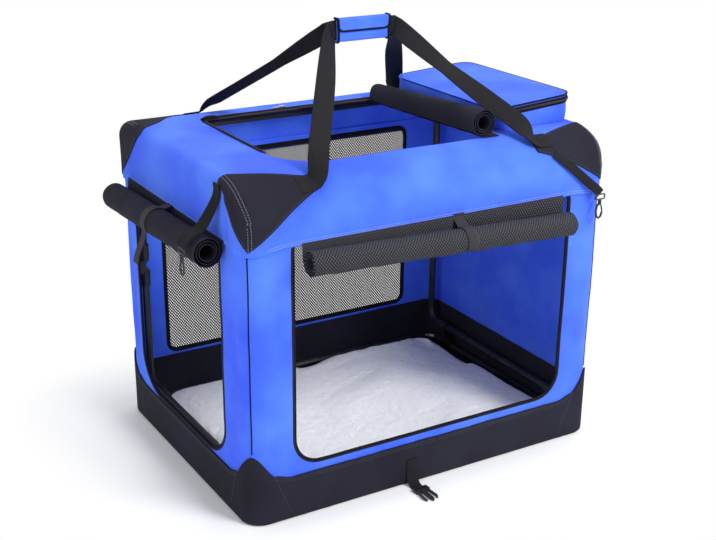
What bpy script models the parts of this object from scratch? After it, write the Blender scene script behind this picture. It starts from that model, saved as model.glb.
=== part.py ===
"""Soft folding dog crate: a fabric cabin on a folding tube frame.

Run with:  blender --background --python part.py
Metres, +Z up.  +X runs along the length, -Y is the long side with the window,
-X is the end with the door.  The origin is the centre of the underside.
"""
import math

import bmesh
import bpy
from mathutils import Matrix, Vector

# Driving dimensions of the body
BODY_LENGTH = 0.810
BODY_WIDTH = 0.600
BODY_HEIGHT = 0.660
CORNER_RADIUS = 0.042
PART_GAP = 0.0004
CUT_OVERRUN = 0.030
CUT_MARGIN = 0.004

# Base tray, the black band and floor
TRAY_SKIN = 0.003
BAND_HEIGHT = 0.090
PEAK_HEIGHT = 0.168
PEAK_FOOT_HEIGHT = 0.100
PEAK_FOOT_WIDTH = 0.052
TRAY_FOOT_BEVEL = 0.007

# Fabric walls, which stand inside the tray and inside the roof's hem
WALL_SKIN = 0.0026
WALL_TOP_DROP = 0.090
HEM_DROP = 0.118

# Roof cover
COVER_SKIN = 0.003
SHOULDER_RUN = 0.110
SHOULDER_RISE = 0.088

# Openings
BINDING_WIDTH = 0.008
BINDING_DEPTH = 0.0036
WINDOW_LEFT_MARGIN = 0.102
WINDOW_RIGHT_MARGIN = 0.100
WINDOW_BOTTOM = 0.112
WINDOW_TOP_DROP = 0.115
WINDOW_CORNER = 0.050
DOOR_NEAR_MARGIN = 0.108
DOOR_FAR_MARGIN = 0.090
DOOR_BOTTOM = 0.098
DOOR_TOP_DROP = 0.115
DOOR_CORNER = 0.078
TOP_CORNER = 0.012
MESH_LEFT_MARGIN = 0.093
MESH_RIGHT_MARGIN = 0.103
MESH_BOTTOM = 0.115
MESH_TOP_DROP = 0.108
MESH_CORNER = 0.020
HATCH_LEFT_MARGIN = 0.140
HATCH_RIGHT_MARGIN = 0.218
HATCH_NEAR_MARGIN = 0.093
HATCH_FAR_MARGIN = 0.118
HATCH_CORNER = 0.028

# Net of the rear window
NET_THICKNESS = 0.0016
NET_STRAND = 0.0055
NET_BORDER = 0.016
NET_COLUMNS = 11
NET_ROWS = 8

# Tube frame
TUBE_RADIUS = 0.008
TUBE_CLEARANCE = 0.0003
RAIL_END_MARGIN = 0.020
BASE_RAIL_SIDE_MARGIN = 0.020
BASE_RAIL_Z = 0.0145
BASE_RAIL_CORNER = 0.035
TOP_RAIL_SIDE_MARGIN = 0.055
TOP_RAIL_DROP = 0.028
TOP_RAIL_CORNER = 0.030
LEG_END_MARGIN = 0.035
LEG_SIDE_MARGIN = 0.038
LOWER_SHAFT_Z = 0.066
UPPER_SHAFT_DROP = 0.045
LEG_BEND = 0.030
ELBOW_OFFSET = 0.010

# Elbow joints
EAR_RADIUS = 0.0105
ELBOW_SHOULDER = 0.012
SLEEVE_RADIUS = 0.0105
SLEEVE_LENGTH = 0.034
TUBE_END_SETBACK = 0.016
TONGUE_THICKNESS = 0.0080
EAR_THICKNESS = 0.0042
RIVET_RADIUS = 0.0030
RIVET_HEAD_RADIUS = 0.0052
RIVET_HEAD_HEIGHT = 0.0016

# Clips that hold the turning shafts to the frames
CLIP_WIDTH = 0.022
CLIP_WALL = 0.0032
CLIP_RAIL_WALL = 0.0025
CLIP_SIDE_MARGIN = 0.100

# Floor mat
MAT_END_MARGIN = 0.053
MAT_SIDE_MARGIN = 0.046
MAT_THICKNESS = 0.030
MAT_CROWN = 0.016
MAT_CORNER = 0.060
MAT_PULL = 0.008
MAT_COLUMNS = 11
MAT_ROWS = 8
MAT_ROLL = 0.010

# Corner patches
PATCH_SKIN = 0.0021
PATCH_TIP_DROP = 0.130
PATCH_TOP_SIDE_MARGIN = 0.100
PATCH_TOP_DROP = 0.008
PATCH_TAB_END_MARGIN = 0.162
PATCH_TAB_SIDE_MARGIN = 0.052
PATCH_MID_END_MARGIN = 0.080
PATCH_MID_SIDE_MARGIN = 0.078
PATCH_TAB_DROP = 0.020
PATCH_EDGE_END_MARGIN = 0.087
PATCH_EDGE_DROP = 0.052

# Pocket on the roof
POCKET_LEFT_MARGIN = 0.205
POCKET_RIGHT_MARGIN = 0.013
POCKET_NEAR_MARGIN = 0.113
POCKET_FAR_MARGIN = 0.117
POCKET_CORNER = 0.030
POCKET_SKIN = 0.0025
POCKET_LEFT_RISE = 0.040
POCKET_RIGHT_RISE = 0.053
POCKET_LID_SKIN = 0.0028
POCKET_CROWN = 0.007
LID_COLUMNS = 8
LID_ROWS = 10

# Rolled-up panels
ROLL_CLOTH = 0.0030
ROLL_TURNS = 3
ROLL_SEGMENTS = 20
ROLL_BORE_SHARE = 0.46
HATCH_ROLL_START_DEG = -90.0
SIDE_ROLL_START_DEG = 20.0
TOP_ROLL_NEAR_RADIUS = 0.0285
TOP_ROLL_FAR_RADIUS = 0.0225
TOP_ROLL_NEAR_END_MARGIN = 0.254
TOP_ROLL_FAR_END_MARGIN = 0.247
TOP_ROLL_LAP = 0.009
TOP_ROLL_FAR_INSET = 0.010
TOP_ROLL_SINK = 0.015
DOOR_ROLL_RADIUS = 0.0298
DOOR_ROLL_STAND = 0.0315
DOOR_ROLL_NEAR_MARGIN = 0.075
DOOR_ROLL_FAR_SIDE_MARGIN = 0.072
DOOR_ROLL_NEAR_DROP = 0.128
DOOR_ROLL_FAR_DROP = 0.146
WINDOW_ROLL_RADIUS = 0.0258
WINDOW_ROLL_STAND = 0.0285
WINDOW_ROLL_LEFT_MARGIN = 0.114
WINDOW_ROLL_RIGHT_MARGIN = 0.117
WINDOW_ROLL_LEFT_DROP = 0.142
WINDOW_ROLL_RIGHT_DROP = 0.163

# Ties round the rolls
TIE_WIDTH = 0.020
TIE_THICKNESS = 0.0014
DOOR_TIE_Y = 0.030
DOOR_TIE_ROOT_DROP = 0.075
DOOR_TIE_TAIL_DROP = 0.062
DOOR_TIE_TAIL_FLARE = 0.022
WINDOW_TIE_X = 0.040
WINDOW_TIE_ROOT_DROP = 0.092
TIE_ARC_START_DEG = 62.0
TIE_ARC_END_DEG = 212.0
TIE_ARC_STEPS = 9

# Carrying handle
WEB_WIDTH = 0.038
WEB_THICKNESS = 0.0018
WEB_SPACING = 0.0026
GRIP_X = -0.005
GRIP_Y = -0.020
GRIP_WEB_RISE = 0.193
GRIP_LENGTH = 0.118
GRIP_WALL = 0.0048
GRIP_FLOOR = 0.0040
GRIP_CORNER = 0.0038
FLAP_THICKNESS = 0.0042
FLAP_DROP = 0.024
STRAP_FOOT_END_MARGIN = 0.143
STRAP_FOOT_SIDE_MARGIN = 0.038
STRAP_FOOT_LIFT = 0.012
STRAP_TAB_END_MARGIN = 0.105
# From the foot to the grip: share of the way, share of the foot's lift, and how upright it stands
STRAP_RUN_SHARES = ((0.10, 1.0, 0.0), (0.35, 0.5, 0.0), (0.65, 0.0, 0.4))
STRAP_FOOT_TURN_SHARE = 0.6
STRAP_LEAVE_TURN_SHARE = 0.45

# Swivel hooks
HOOK_WEB_WIDTH = 0.019
HOOK_WEB_THICKNESS = 0.0016
EYE_WIDTH = 0.024
EYE_HEIGHT = 0.010
EYE_WIRE = 0.0015
SWIVEL_RADIUS = 0.0036
SWIVEL_LENGTH = 0.009
HOOK_WIRE = 0.0021
HOOK_HALF_WIDTH = 0.0078
HOOK_LOOP_HEIGHT = 0.030
HOOK_LAY_STEPS = 5
HOOK_START_DEG = 115.0
HOOK_SWEEP_DEG = 195.0
HOOK_STEPS = 16
GATE_WIRE = 0.0015
GATE_TIP_SHARE = 0.40

# Closing straps and their side-release buckle
CLOSE_WEB_WIDTH = 0.025
CLOSE_WEB_THICKNESS = 0.0018
CLOSE_ROOT_Z = 0.056
CLOSE_X = -0.050
CLOSE_REACH = 0.026
# The strap's fall to the floor: shares of its reach and of its root's height
CLOSE_FALL_SHARES = ((0.0, 1.0), (0.0, 0.45), (0.07, 0.22), (0.35, 0.04), (0.6, 0.0), (1.0, 0.0))
BUCKLE_THICKNESS = 0.0064
BUCKLE_WIDTH = 0.032
BUCKLE_BASE = 0.016
BUCKLE_PRONG = 0.036
SOCKET_LENGTH = 0.034
SOCKET_WALL = 0.0018
SLOT_LENGTH = 0.0045

# Zip slider of the roof hatch
SLIDER_LENGTH = 0.013
SLIDER_WIDTH = 0.009
SLIDER_HEIGHT = 0.0042
SLIDER_X = -0.075
PULL_LENGTH = 0.020

# Worked out once
HALF_LENGTH = BODY_LENGTH / 2
HALF_WIDTH = BODY_WIDTH / 2
WALL_TOP = BODY_HEIGHT - WALL_TOP_DROP
HEM_HEIGHT = BODY_HEIGHT - HEM_DROP
WINDOW_TOP = BODY_HEIGHT - WINDOW_TOP_DROP
DOOR_TOP = BODY_HEIGHT - DOOR_TOP_DROP
MESH_TOP = BODY_HEIGHT - MESH_TOP_DROP
TOP_RAIL_Z = BODY_HEIGHT - TOP_RAIL_DROP
UPPER_SHAFT_Z = BODY_HEIGHT - UPPER_SHAFT_DROP
PATCH_TIP_Z = BODY_HEIGHT - PATCH_TIP_DROP
PATCH_TOP_Z = BODY_HEIGHT - PATCH_TOP_DROP
PATCH_TAB_Z = BODY_HEIGHT - PATCH_TAB_DROP
PATCH_EDGE_Z = BODY_HEIGHT - PATCH_EDGE_DROP
DOOR_ROLL_NEAR_Z = BODY_HEIGHT - DOOR_ROLL_NEAR_DROP
DOOR_ROLL_FAR_Z = BODY_HEIGHT - DOOR_ROLL_FAR_DROP
WINDOW_ROLL_LEFT_Z = BODY_HEIGHT - WINDOW_ROLL_LEFT_DROP
WINDOW_ROLL_RIGHT_Z = BODY_HEIGHT - WINDOW_ROLL_RIGHT_DROP
DOOR_TIE_ROOT_Z = BODY_HEIGHT - DOOR_TIE_ROOT_DROP
WINDOW_TIE_ROOT_Z = BODY_HEIGHT - WINDOW_TIE_ROOT_DROP
POCKET_LEFT_RIM = BODY_HEIGHT + POCKET_LEFT_RISE
POCKET_RIGHT_RIM = BODY_HEIGHT + POCKET_RIGHT_RISE
GRIP_WEB_Z = BODY_HEIGHT + GRIP_WEB_RISE
BASE_RAIL_Y = HALF_WIDTH - BASE_RAIL_SIDE_MARGIN
TOP_RAIL_Y = HALF_WIDTH - TOP_RAIL_SIDE_MARGIN
LEG_Y = HALF_WIDTH - LEG_SIDE_MARGIN
CLIP_Y = HALF_WIDTH - CLIP_SIDE_MARGIN
DOOR_FAR = HALF_WIDTH - DOOR_FAR_MARGIN
HATCH_FAR = HALF_WIDTH - HATCH_FAR_MARGIN
POCKET_FAR = HALF_WIDTH - POCKET_FAR_MARGIN
PATCH_TOP_Y = HALF_WIDTH - PATCH_TOP_SIDE_MARGIN
PATCH_TAB_Y = HALF_WIDTH - PATCH_TAB_SIDE_MARGIN
PATCH_MID_Y = HALF_WIDTH - PATCH_MID_SIDE_MARGIN
STRAP_FOOT_Y = HALF_WIDTH - STRAP_FOOT_SIDE_MARGIN
DOOR_ROLL_FAR_Y = HALF_WIDTH - DOOR_ROLL_FAR_SIDE_MARGIN
DOOR_NEAR = DOOR_NEAR_MARGIN - HALF_WIDTH
HATCH_NEAR = HATCH_NEAR_MARGIN - HALF_WIDTH
POCKET_NEAR = POCKET_NEAR_MARGIN - HALF_WIDTH
DOOR_ROLL_NEAR_Y = DOOR_ROLL_NEAR_MARGIN - HALF_WIDTH
WINDOW_ROLL_Y = -HALF_WIDTH - WINDOW_ROLL_STAND
DOOR_ROLL_X = -HALF_LENGTH - DOOR_ROLL_STAND
RAIL_X = HALF_LENGTH - RAIL_END_MARGIN
LEG_X = HALF_LENGTH - LEG_END_MARGIN
WINDOW_RIGHT = HALF_LENGTH - WINDOW_RIGHT_MARGIN
MESH_RIGHT = HALF_LENGTH - MESH_RIGHT_MARGIN
HATCH_RIGHT = HALF_LENGTH - HATCH_RIGHT_MARGIN
POCKET_RIGHT = HALF_LENGTH - POCKET_RIGHT_MARGIN
POCKET_LEFT = HALF_LENGTH - POCKET_LEFT_MARGIN
PATCH_TAB_X = HALF_LENGTH - PATCH_TAB_END_MARGIN
PATCH_MID_X = HALF_LENGTH - PATCH_MID_END_MARGIN
PATCH_EDGE_X = HALF_LENGTH - PATCH_EDGE_END_MARGIN
STRAP_FOOT_X = HALF_LENGTH - STRAP_FOOT_END_MARGIN
STRAP_TAB_X = HALF_LENGTH - STRAP_TAB_END_MARGIN
WINDOW_ROLL_RIGHT = HALF_LENGTH - WINDOW_ROLL_RIGHT_MARGIN
TOP_ROLL_NEAR_X = HALF_LENGTH - TOP_ROLL_NEAR_END_MARGIN
TOP_ROLL_FAR_X = HALF_LENGTH - TOP_ROLL_FAR_END_MARGIN
WINDOW_LEFT = WINDOW_LEFT_MARGIN - HALF_LENGTH
MESH_LEFT = MESH_LEFT_MARGIN - HALF_LENGTH
HATCH_LEFT = HATCH_LEFT_MARGIN - HALF_LENGTH
WINDOW_ROLL_LEFT = WINDOW_ROLL_LEFT_MARGIN - HALF_LENGTH
MAT_LENGTH = BODY_LENGTH - 2 * MAT_END_MARGIN
MAT_WIDTH = BODY_WIDTH - 2 * MAT_SIDE_MARGIN
TRAY_FLOOR_TOP = TRAY_SKIN
WALL_OFFSET = -(TRAY_SKIN + PART_GAP)
WALL_FOOT = TRAY_FLOOR_TOP + PART_GAP
ELBOW_Z = (LOWER_SHAFT_Z + UPPER_SHAFT_Z) / 2
SHOULDER_Z = BODY_HEIGHT - SHOULDER_RISE
DOOR_ROLL = ((DOOR_ROLL_X, DOOR_ROLL_NEAR_Y, DOOR_ROLL_NEAR_Z),
             (DOOR_ROLL_X, DOOR_ROLL_FAR_Y, DOOR_ROLL_FAR_Z))
WINDOW_ROLL = ((WINDOW_ROLL_LEFT, WINDOW_ROLL_Y, WINDOW_ROLL_LEFT_Z),
               (WINDOW_ROLL_RIGHT, WINDOW_ROLL_Y, WINDOW_ROLL_RIGHT_Z))
ARC_STEPS = 6
WELD = 0.00001

COLORS = {
    "blue": ((0.10, 0.22, 0.86), 0.78, 0.0),
    "black_cloth": ((0.030, 0.028, 0.038), 0.85, 0.0),
    "webbing": ((0.016, 0.016, 0.017), 0.80, 0.0),
    "fleece": ((0.86, 0.85, 0.82), 0.95, 0.0),
    "steel": ((0.035, 0.035, 0.038), 0.42, 0.7),
    "plastic": ((0.020, 0.020, 0.021), 0.45, 0.0),
    "net": ((0.045, 0.045, 0.05), 0.80, 0.0),
    "zinc": ((0.62, 0.62, 0.60), 0.30, 1.0),
}


def clear_scene():
    for item in list(bpy.data.objects):
        bpy.data.objects.remove(item, do_unlink=True)


def new_collection(name):
    group = bpy.data.collections.new(name)
    bpy.context.scene.collection.children.link(group)
    return group


clear_scene()
PARTS = new_collection("soft_folding_dog_crate")
CUTTERS = new_collection("cutters")


def material(key):
    found = bpy.data.materials.get(key)
    if found:
        return found
    color, roughness, metallic = COLORS[key]
    made = bpy.data.materials.new(key)
    made.use_nodes = True
    shader = made.node_tree.nodes["Principled BSDF"]
    shader.inputs["Base Color"].default_value = (*color, 1.0)
    shader.inputs["Roughness"].default_value = roughness
    shader.inputs["Metallic"].default_value = metallic
    return made


def link(name, mesh):
    obj = bpy.data.objects.new(name, mesh)
    CUTTERS.objects.link(obj)
    obj.hide_render = True
    obj.display_type = "WIRE"
    return obj


def finish(obj, color, body, smooth_angle=35.0):
    """Move an object from the cutters to the parts, with its material and body."""
    CUTTERS.objects.unlink(obj)
    PARTS.objects.link(obj)
    obj.hide_render = False
    obj.display_type = "TEXTURED"
    obj.data.materials.clear()
    obj.data.materials.append(material(color))
    obj.data.shade_smooth()
    obj.data.set_sharp_from_angle(angle=math.radians(smooth_angle))
    obj.parent = body
    obj.matrix_parent_inverse = body.matrix_world.inverted()
    return obj


def body_empty(name, place, parent=None):
    empty = bpy.data.objects.new(name, None)
    PARTS.objects.link(empty)
    empty.empty_display_size = BAND_HEIGHT
    empty.location = place
    if parent:
        empty.parent = parent
        bpy.context.view_layer.update()
        empty.matrix_parent_inverse = parent.matrix_world.inverted()
    bpy.context.view_layer.update()
    return empty


def face_outward(shape):
    bmesh.ops.recalc_face_normals(shape, faces=shape.faces)
    if shape.calc_volume(signed=True) < 0:
        bmesh.ops.reverse_faces(shape, faces=shape.faces)


def mesh_from_curve(curve, name, turn=None):
    """The evaluated mesh of a curve, with its caps welded, turned to its place."""
    holder = bpy.data.objects.new(name, curve)
    CUTTERS.objects.link(holder)
    bpy.context.view_layer.update()
    graph = bpy.context.evaluated_depsgraph_get()
    mesh = bpy.data.meshes.new_from_object(holder.evaluated_get(graph))
    bpy.data.objects.remove(holder, do_unlink=True)
    shape = bmesh.new()
    shape.from_mesh(mesh)
    bmesh.ops.remove_doubles(shape, verts=shape.verts, dist=WELD)
    if turn is not None:
        shape.transform(turn)
    face_outward(shape)
    shape.to_mesh(mesh)
    shape.free()
    return mesh


AXIS_TURNS = {
    "Z": Matrix.Identity(4),
    "Y": Matrix(((1, 0, 0, 0), (0, 0, 1, 0), (0, 1, 0, 0), (0, 0, 0, 1))),
    "X": Matrix(((0, 0, 1, 0), (1, 0, 0, 0), (0, 1, 0, 0), (0, 0, 0, 1))),
}


def plate(name, loops, low, high, axis="Z"):
    """A flat outline, with its holes, extruded from low to high along an axis.

    Outline points are (x, y) for Z, (x, z) for Y and (y, z) for X.
    """
    curve = bpy.data.curves.new(name, "CURVE")
    curve.dimensions = "2D"
    curve.fill_mode = "BOTH"
    curve.extrude = (high - low) / 2
    for loop in loops:
        spline = curve.splines.new("POLY")
        spline.points.add(len(loop) - 1)
        for point, (u, v) in zip(spline.points, loop):
            point.co = (u, v, 0.0, 1.0)
        spline.use_cyclic_u = True
    lift = Matrix.Translation((0.0, 0.0, (high + low) / 2))
    return link(name, mesh_from_curve(curve, name, AXIS_TURNS[axis] @ lift))


def tube(name, points, radius, cyclic=False, resolution=2):
    curve = bpy.data.curves.new(name, "CURVE")
    curve.dimensions = "3D"
    curve.bevel_depth = radius
    curve.bevel_resolution = resolution
    curve.use_fill_caps = not cyclic
    spline = curve.splines.new("POLY")
    spline.points.add(len(points) - 1)
    for point, co in zip(spline.points, points):
        point.co = (*co, 1.0)
    spline.use_cyclic_u = cyclic
    return link(name, mesh_from_curve(curve, name))


def cylinder(name, radius, low, high, place, axis="Z", sides=16):
    shape = bmesh.new()
    bmesh.ops.create_cone(shape, cap_ends=True, segments=sides, radius1=radius,
                          radius2=radius, depth=high - low)
    shape.transform(Matrix.Translation((0.0, 0.0, (high + low) / 2)))
    if axis == "Y":
        shape.transform(Matrix.Rotation(-math.pi / 2, 4, "X"))
    shape.transform(Matrix.Translation(place))
    mesh = bpy.data.meshes.new(name)
    shape.to_mesh(mesh)
    shape.free()
    return link(name, mesh)


def boolean(obj, other, operation):
    step = obj.modifiers.new(other.name, "BOOLEAN")
    step.operation = operation
    step.solver = "EXACT"
    step.object = other
    return obj


def cut(obj, other):
    return boolean(obj, other, "DIFFERENCE")


def keep(obj, other):
    return boolean(obj, other, "INTERSECT")


def unite(obj, other):
    return boolean(obj, other, "UNION")


def settle(obj):
    """Apply an object's modifiers, so that copies of it stay quick to build."""
    bpy.context.view_layer.update()
    graph = bpy.context.evaluated_depsgraph_get()
    mesh = bpy.data.meshes.new_from_object(obj.evaluated_get(graph))
    obj.modifiers.clear()
    obj.data = mesh
    return obj


def copy_of(obj, name):
    return link(name, obj.data.copy())


def arc(cu, cv, ru, rv, start, end, steps=ARC_STEPS):
    """Points on an elliptic arc round (cu, cv), angles in degrees."""
    points = []
    for i in range(steps + 1):
        turn = math.radians(start + (end - start) * i / steps)
        points.append((cu + ru * math.cos(turn), cv + rv * math.sin(turn)))
    return points


def rounded_box(u0, v0, u1, v1, low_radius, high_radius=None, steps=ARC_STEPS):
    """Rectangle outline: one corner radius at low v and one at high v."""
    a = low_radius
    b = low_radius if high_radius is None else high_radius
    return (arc(u1 - a, v0 + a, a, a, -90, 0, steps) + arc(u1 - b, v1 - b, b, b, 0, 90, steps)
            + arc(u0 + b, v1 - b, b, b, 90, 180, steps) + arc(u0 + a, v0 + a, a, a, 180, 270, steps))


def body_outline(offset):
    """The crate's plan, grown or shrunk by an offset."""
    a = HALF_LENGTH + offset
    b = HALF_WIDTH + offset
    return rounded_box(-a, -b, a, b, CORNER_RADIUS + offset)


def hull_of_two_circles(c0, r0, c1, r1, steps=6):
    """Outline round two circles, like a belt."""
    du, dv = c1[0] - c0[0], c1[1] - c0[1]
    aim = math.degrees(math.atan2(dv, du))
    lean = math.degrees(math.acos((r0 - r1) / math.hypot(du, dv)))
    return (arc(*c1, r1, r1, aim - lean, aim + lean, steps)
            + arc(*c0, r0, r0, aim + lean, aim - lean + 360, steps))


def circle(cu, cv, radius, steps=16):
    return arc(cu, cv, radius, radius, 0, 360 - 360 / steps, steps - 1)


def bent_path(corners, radius, steps=4, cyclic=False):
    """A path through corners, each replaced by an arc of the given radius."""
    points = []
    count = len(corners)
    for i, corner in enumerate(corners):
        if not cyclic and i in (0, count - 1):
            points.append(Vector(corner))
            continue
        here = Vector(corner)
        back = (Vector(corners[i - 1]) - here).normalized()
        ahead = (Vector(corners[(i + 1) % count]) - here).normalized()
        half = back.angle(ahead) / 2
        centre = here + (back + ahead).normalized() * radius / math.sin(half)
        first = (here + back * radius / math.tan(half) - centre).normalized()
        last = (here + ahead * radius / math.tan(half) - centre).normalized()
        for k in range(steps + 1):
            points.append(centre + first.slerp(last, k / steps) * radius)
    return points


def strap(name, stations, thickness):
    """A flat strap through stations of (point, direction of its width, width)."""
    shape = bmesh.new()
    before = None
    for point, across, width in stations:
        side = Vector(across).normalized() * width / 2
        pair = (shape.verts.new(Vector(point) - side), shape.verts.new(Vector(point) + side))
        if before:
            shape.faces.new((before[0], before[1], pair[1], pair[0]))
        before = pair
    mesh = bpy.data.meshes.new(name)
    shape.to_mesh(mesh)
    shape.free()
    obj = link(name, mesh)
    wall = obj.modifiers.new("webbing", "SOLIDIFY")
    wall.thickness = thickness
    wall.offset = 0.0
    wall.use_even_offset = True
    return obj


def padded_grid(name, low, high, corner, columns, rows):
    """A flat grid whose outline has round corners, and the share of each point's way out."""
    shape = bmesh.new()
    bmesh.ops.create_grid(shape, x_segments=columns, y_segments=rows, size=1.0)
    shares = {}
    half = Vector(((high[0] - low[0]) / 2, (high[1] - low[1]) / 2))
    middle = Vector(((high[0] + low[0]) / 2, (high[1] + low[1]) / 2))
    straight = Vector((half.x - corner, half.y - corner))
    for vert in shape.verts:
        shares[vert.index] = (vert.co.x, vert.co.y)
        out = [abs(vert.co.x) * half.x, abs(vert.co.y) * half.y]
        p = max(0.0, (out[0] - straight.x) / corner)
        q = max(0.0, (out[1] - straight.y) / corner)
        if p > 0 and q > 0:
            out[0] = straight.x + corner * p * math.sqrt(1 - q * q / 2)
            out[1] = straight.y + corner * q * math.sqrt(1 - p * p / 2)
        vert.co.x = middle.x + math.copysign(out[0], vert.co.x)
        vert.co.y = middle.y + math.copysign(out[1], vert.co.y)
    return shape, shares


# Bodies: each empty sits on the axis that its body turns or slides on
BASE = body_empty("base", (0, 0, 0))
LOWER = {}
UPPER = {}
for side, sign in (("left", -1), ("right", 1)):
    LOWER[side] = body_empty(f"{side}_lower", (sign * LEG_X, 0, LOWER_SHAFT_Z), BASE)
    UPPER[side] = body_empty(f"{side}_upper", (sign * (LEG_X + ELBOW_OFFSET), 0, ELBOW_Z), LOWER[side])
TOP = body_empty("top", (-LEG_X, 0, UPPER_SHAFT_Z), UPPER["left"])


def make_tray():
    outer = plate("tray_outer", [body_outline(0.0)], 0.0, PEAK_HEIGHT)
    shape = bmesh.new()
    shape.from_mesh(outer.data)
    foot = [edge for edge in shape.edges
            if all(abs(v.co.z) < WELD for v in edge.verts) and len(edge.link_faces) == 2
            and abs(edge.link_faces[0].normal.z - edge.link_faces[1].normal.z) > 0.5]
    bmesh.ops.bevel(shape, geom=foot, offset=TRAY_FOOT_BEVEL, segments=3, profile=0.5,
                    affect="EDGES", material=-1)
    shape.to_mesh(outer.data)
    shape.free()
    inner_corner = CORNER_RADIUS - TRAY_SKIN
    inner = plate("tray_inner", [body_outline(-TRAY_SKIN)], TRAY_FLOOR_TOP, PEAK_HEIGHT + CUT_OVERRUN)
    cut(outer, inner)
    for axis, half in (("Y", HALF_LENGTH), ("X", HALF_WIDTH)):
        reach = HALF_LENGTH if axis == "X" else HALF_WIDTH
        foot_at = half - PEAK_FOOT_WIDTH
        outline = [(-half, PEAK_HEIGHT), (-foot_at, PEAK_FOOT_HEIGHT)]
        outline += [(-foot_at + inner_corner, BAND_HEIGHT), (foot_at - inner_corner, BAND_HEIGHT)]
        outline += [(foot_at, PEAK_FOOT_HEIGHT), (half, PEAK_HEIGHT)]
        outline += [(half + CUT_OVERRUN, PEAK_HEIGHT + CUT_OVERRUN)]
        outline += [(-half - CUT_OVERRUN, PEAK_HEIGHT + CUT_OVERRUN)]
        above = plate(f"tray_above_{axis}", [outline], -reach - CUT_OVERRUN, reach + CUT_OVERRUN, axis)
        cut(outer, above)
    outer.name = "base_tray"
    finish(outer, "black_cloth", BASE)


def make_walls():
    ring = plate("wall_ring", [body_outline(WALL_OFFSET), body_outline(WALL_OFFSET - WALL_SKIN)],
                 WALL_FOOT, WALL_TOP)
    far = HALF_LENGTH + CUT_OVERRUN
    lean = HALF_LENGTH - HALF_WIDTH
    seam = PART_GAP / math.sqrt(2)
    reach = HALF_WIDTH + CUT_OVERRUN
    # Wedges from the middle line out to the four corners, each a seam's width narrow
    long_wedge = [(-lean - reach + seam, -reach), (lean + reach - seam, -reach),
                  (lean - seam, 0.0), (-lean + seam, 0.0)]
    end_wedge = [(-lean - reach, reach - seam), (-lean - reach, -reach + seam), (-lean, -seam), (-lean, seam)]
    sides = {
        "front_wall": (long_wedge, 1, 1),
        "back_wall": (long_wedge, 1, -1),
        "left_end_wall": (end_wedge, 1, 1),
        "right_end_wall": (end_wedge, -1, 1),
    }
    walls = {}
    for name, (wedge, sx, sy) in sides.items():
        outline = [(u * sx, v * sy) for u, v in wedge]
        wall = copy_of(ring, name)
        keep(wall, plate(f"{name}_wedge", [outline], -CUT_OVERRUN, WALL_TOP + CUT_OVERRUN))
        walls[name] = wall
    edge = BINDING_WIDTH + PART_GAP
    window = rounded_box(WINDOW_LEFT - edge, WINDOW_BOTTOM - edge, WINDOW_RIGHT + edge, WINDOW_TOP + edge,
                         WINDOW_CORNER + edge, TOP_CORNER + edge)
    door = rounded_box(DOOR_NEAR - edge, DOOR_BOTTOM - edge, DOOR_FAR + edge, DOOR_TOP + edge,
                       DOOR_CORNER + edge, TOP_CORNER + edge)
    mesh_hole = rounded_box(MESH_LEFT, MESH_BOTTOM, MESH_RIGHT, MESH_TOP, MESH_CORNER)
    cut(walls["front_wall"], plate("window_cut", [window], -far, -lean, "Y"))
    cut(walls["back_wall"], plate("mesh_cut", [mesh_hole], lean, far, "Y"))
    cut(walls["left_end_wall"], plate("door_cut", [door], -far, -lean, "X"))
    for wall in walls.values():
        finish(wall, "blue", BASE)
    wall_out = HALF_WIDTH + WALL_OFFSET
    ring_loops = [rounded_box(WINDOW_LEFT - d, WINDOW_BOTTOM - d, WINDOW_RIGHT + d, WINDOW_TOP + d,
                              WINDOW_CORNER + d, TOP_CORNER + d) for d in (BINDING_WIDTH, 0.0)]
    trim = plate("window_binding", ring_loops, -wall_out, -wall_out + BINDING_DEPTH, "Y")
    finish(trim, "black_cloth", BASE)
    end_out = HALF_LENGTH + WALL_OFFSET
    ring_loops = [rounded_box(DOOR_NEAR - d, DOOR_BOTTOM - d, DOOR_FAR + d, DOOR_TOP + d,
                              DOOR_CORNER + d, TOP_CORNER + d) for d in (BINDING_WIDTH, 0.0)]
    trim = plate("door_binding", ring_loops, -end_out, -end_out + BINDING_DEPTH, "X")
    finish(trim, "black_cloth", BASE)


def make_net():
    """The rear window's net: staggered diamond gaps inside a plain border."""
    gap = PART_GAP
    frame = rounded_box(MESH_LEFT + gap, MESH_BOTTOM + gap, MESH_RIGHT - gap, MESH_TOP - gap,
                        MESH_CORNER - gap)
    u0 = MESH_LEFT + NET_BORDER
    u1 = MESH_RIGHT - NET_BORDER
    v0 = MESH_BOTTOM + NET_BORDER
    v1 = MESH_TOP - NET_BORDER
    pitch_u = (u1 - u0) / NET_COLUMNS
    pitch_v = (v1 - v0) / NET_ROWS
    slack = math.sqrt(2) * NET_STRAND / 2
    half_u = pitch_u / 2 - slack
    half_v = pitch_v / 2 - slack
    loops = [frame]
    for row in range(2 * NET_ROWS - 1):
        staggered = row % 2
        for column in range(NET_COLUMNS - staggered):
            cu = u0 + (column + 0.5 + staggered / 2) * pitch_u
            cv = v0 + (row + 1) * pitch_v / 2
            loops.append([(cu - half_u, cv), (cu, cv - half_v), (cu + half_u, cv), (cu, cv + half_v)])
    outside = HALF_WIDTH + WALL_OFFSET
    net = plate("rear_window_net", loops, outside - NET_THICKNESS, outside, "Y")
    finish(net, "net", BASE)


def shoulder_profile(offset, bottom):
    """The crate's end view: straight sides and a round shoulder at front and back."""
    half = HALF_WIDTH + offset
    run = SHOULDER_RUN + offset
    rise = SHOULDER_RISE + offset
    steps = 2 * ARC_STEPS
    right = arc(half - run, SHOULDER_Z, run, rise, 0, 90, steps)
    left = arc(-half + run, SHOULDER_Z, run, rise, 90, 180, steps)
    return [(-half, bottom), (half, bottom)] + right + left


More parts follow.
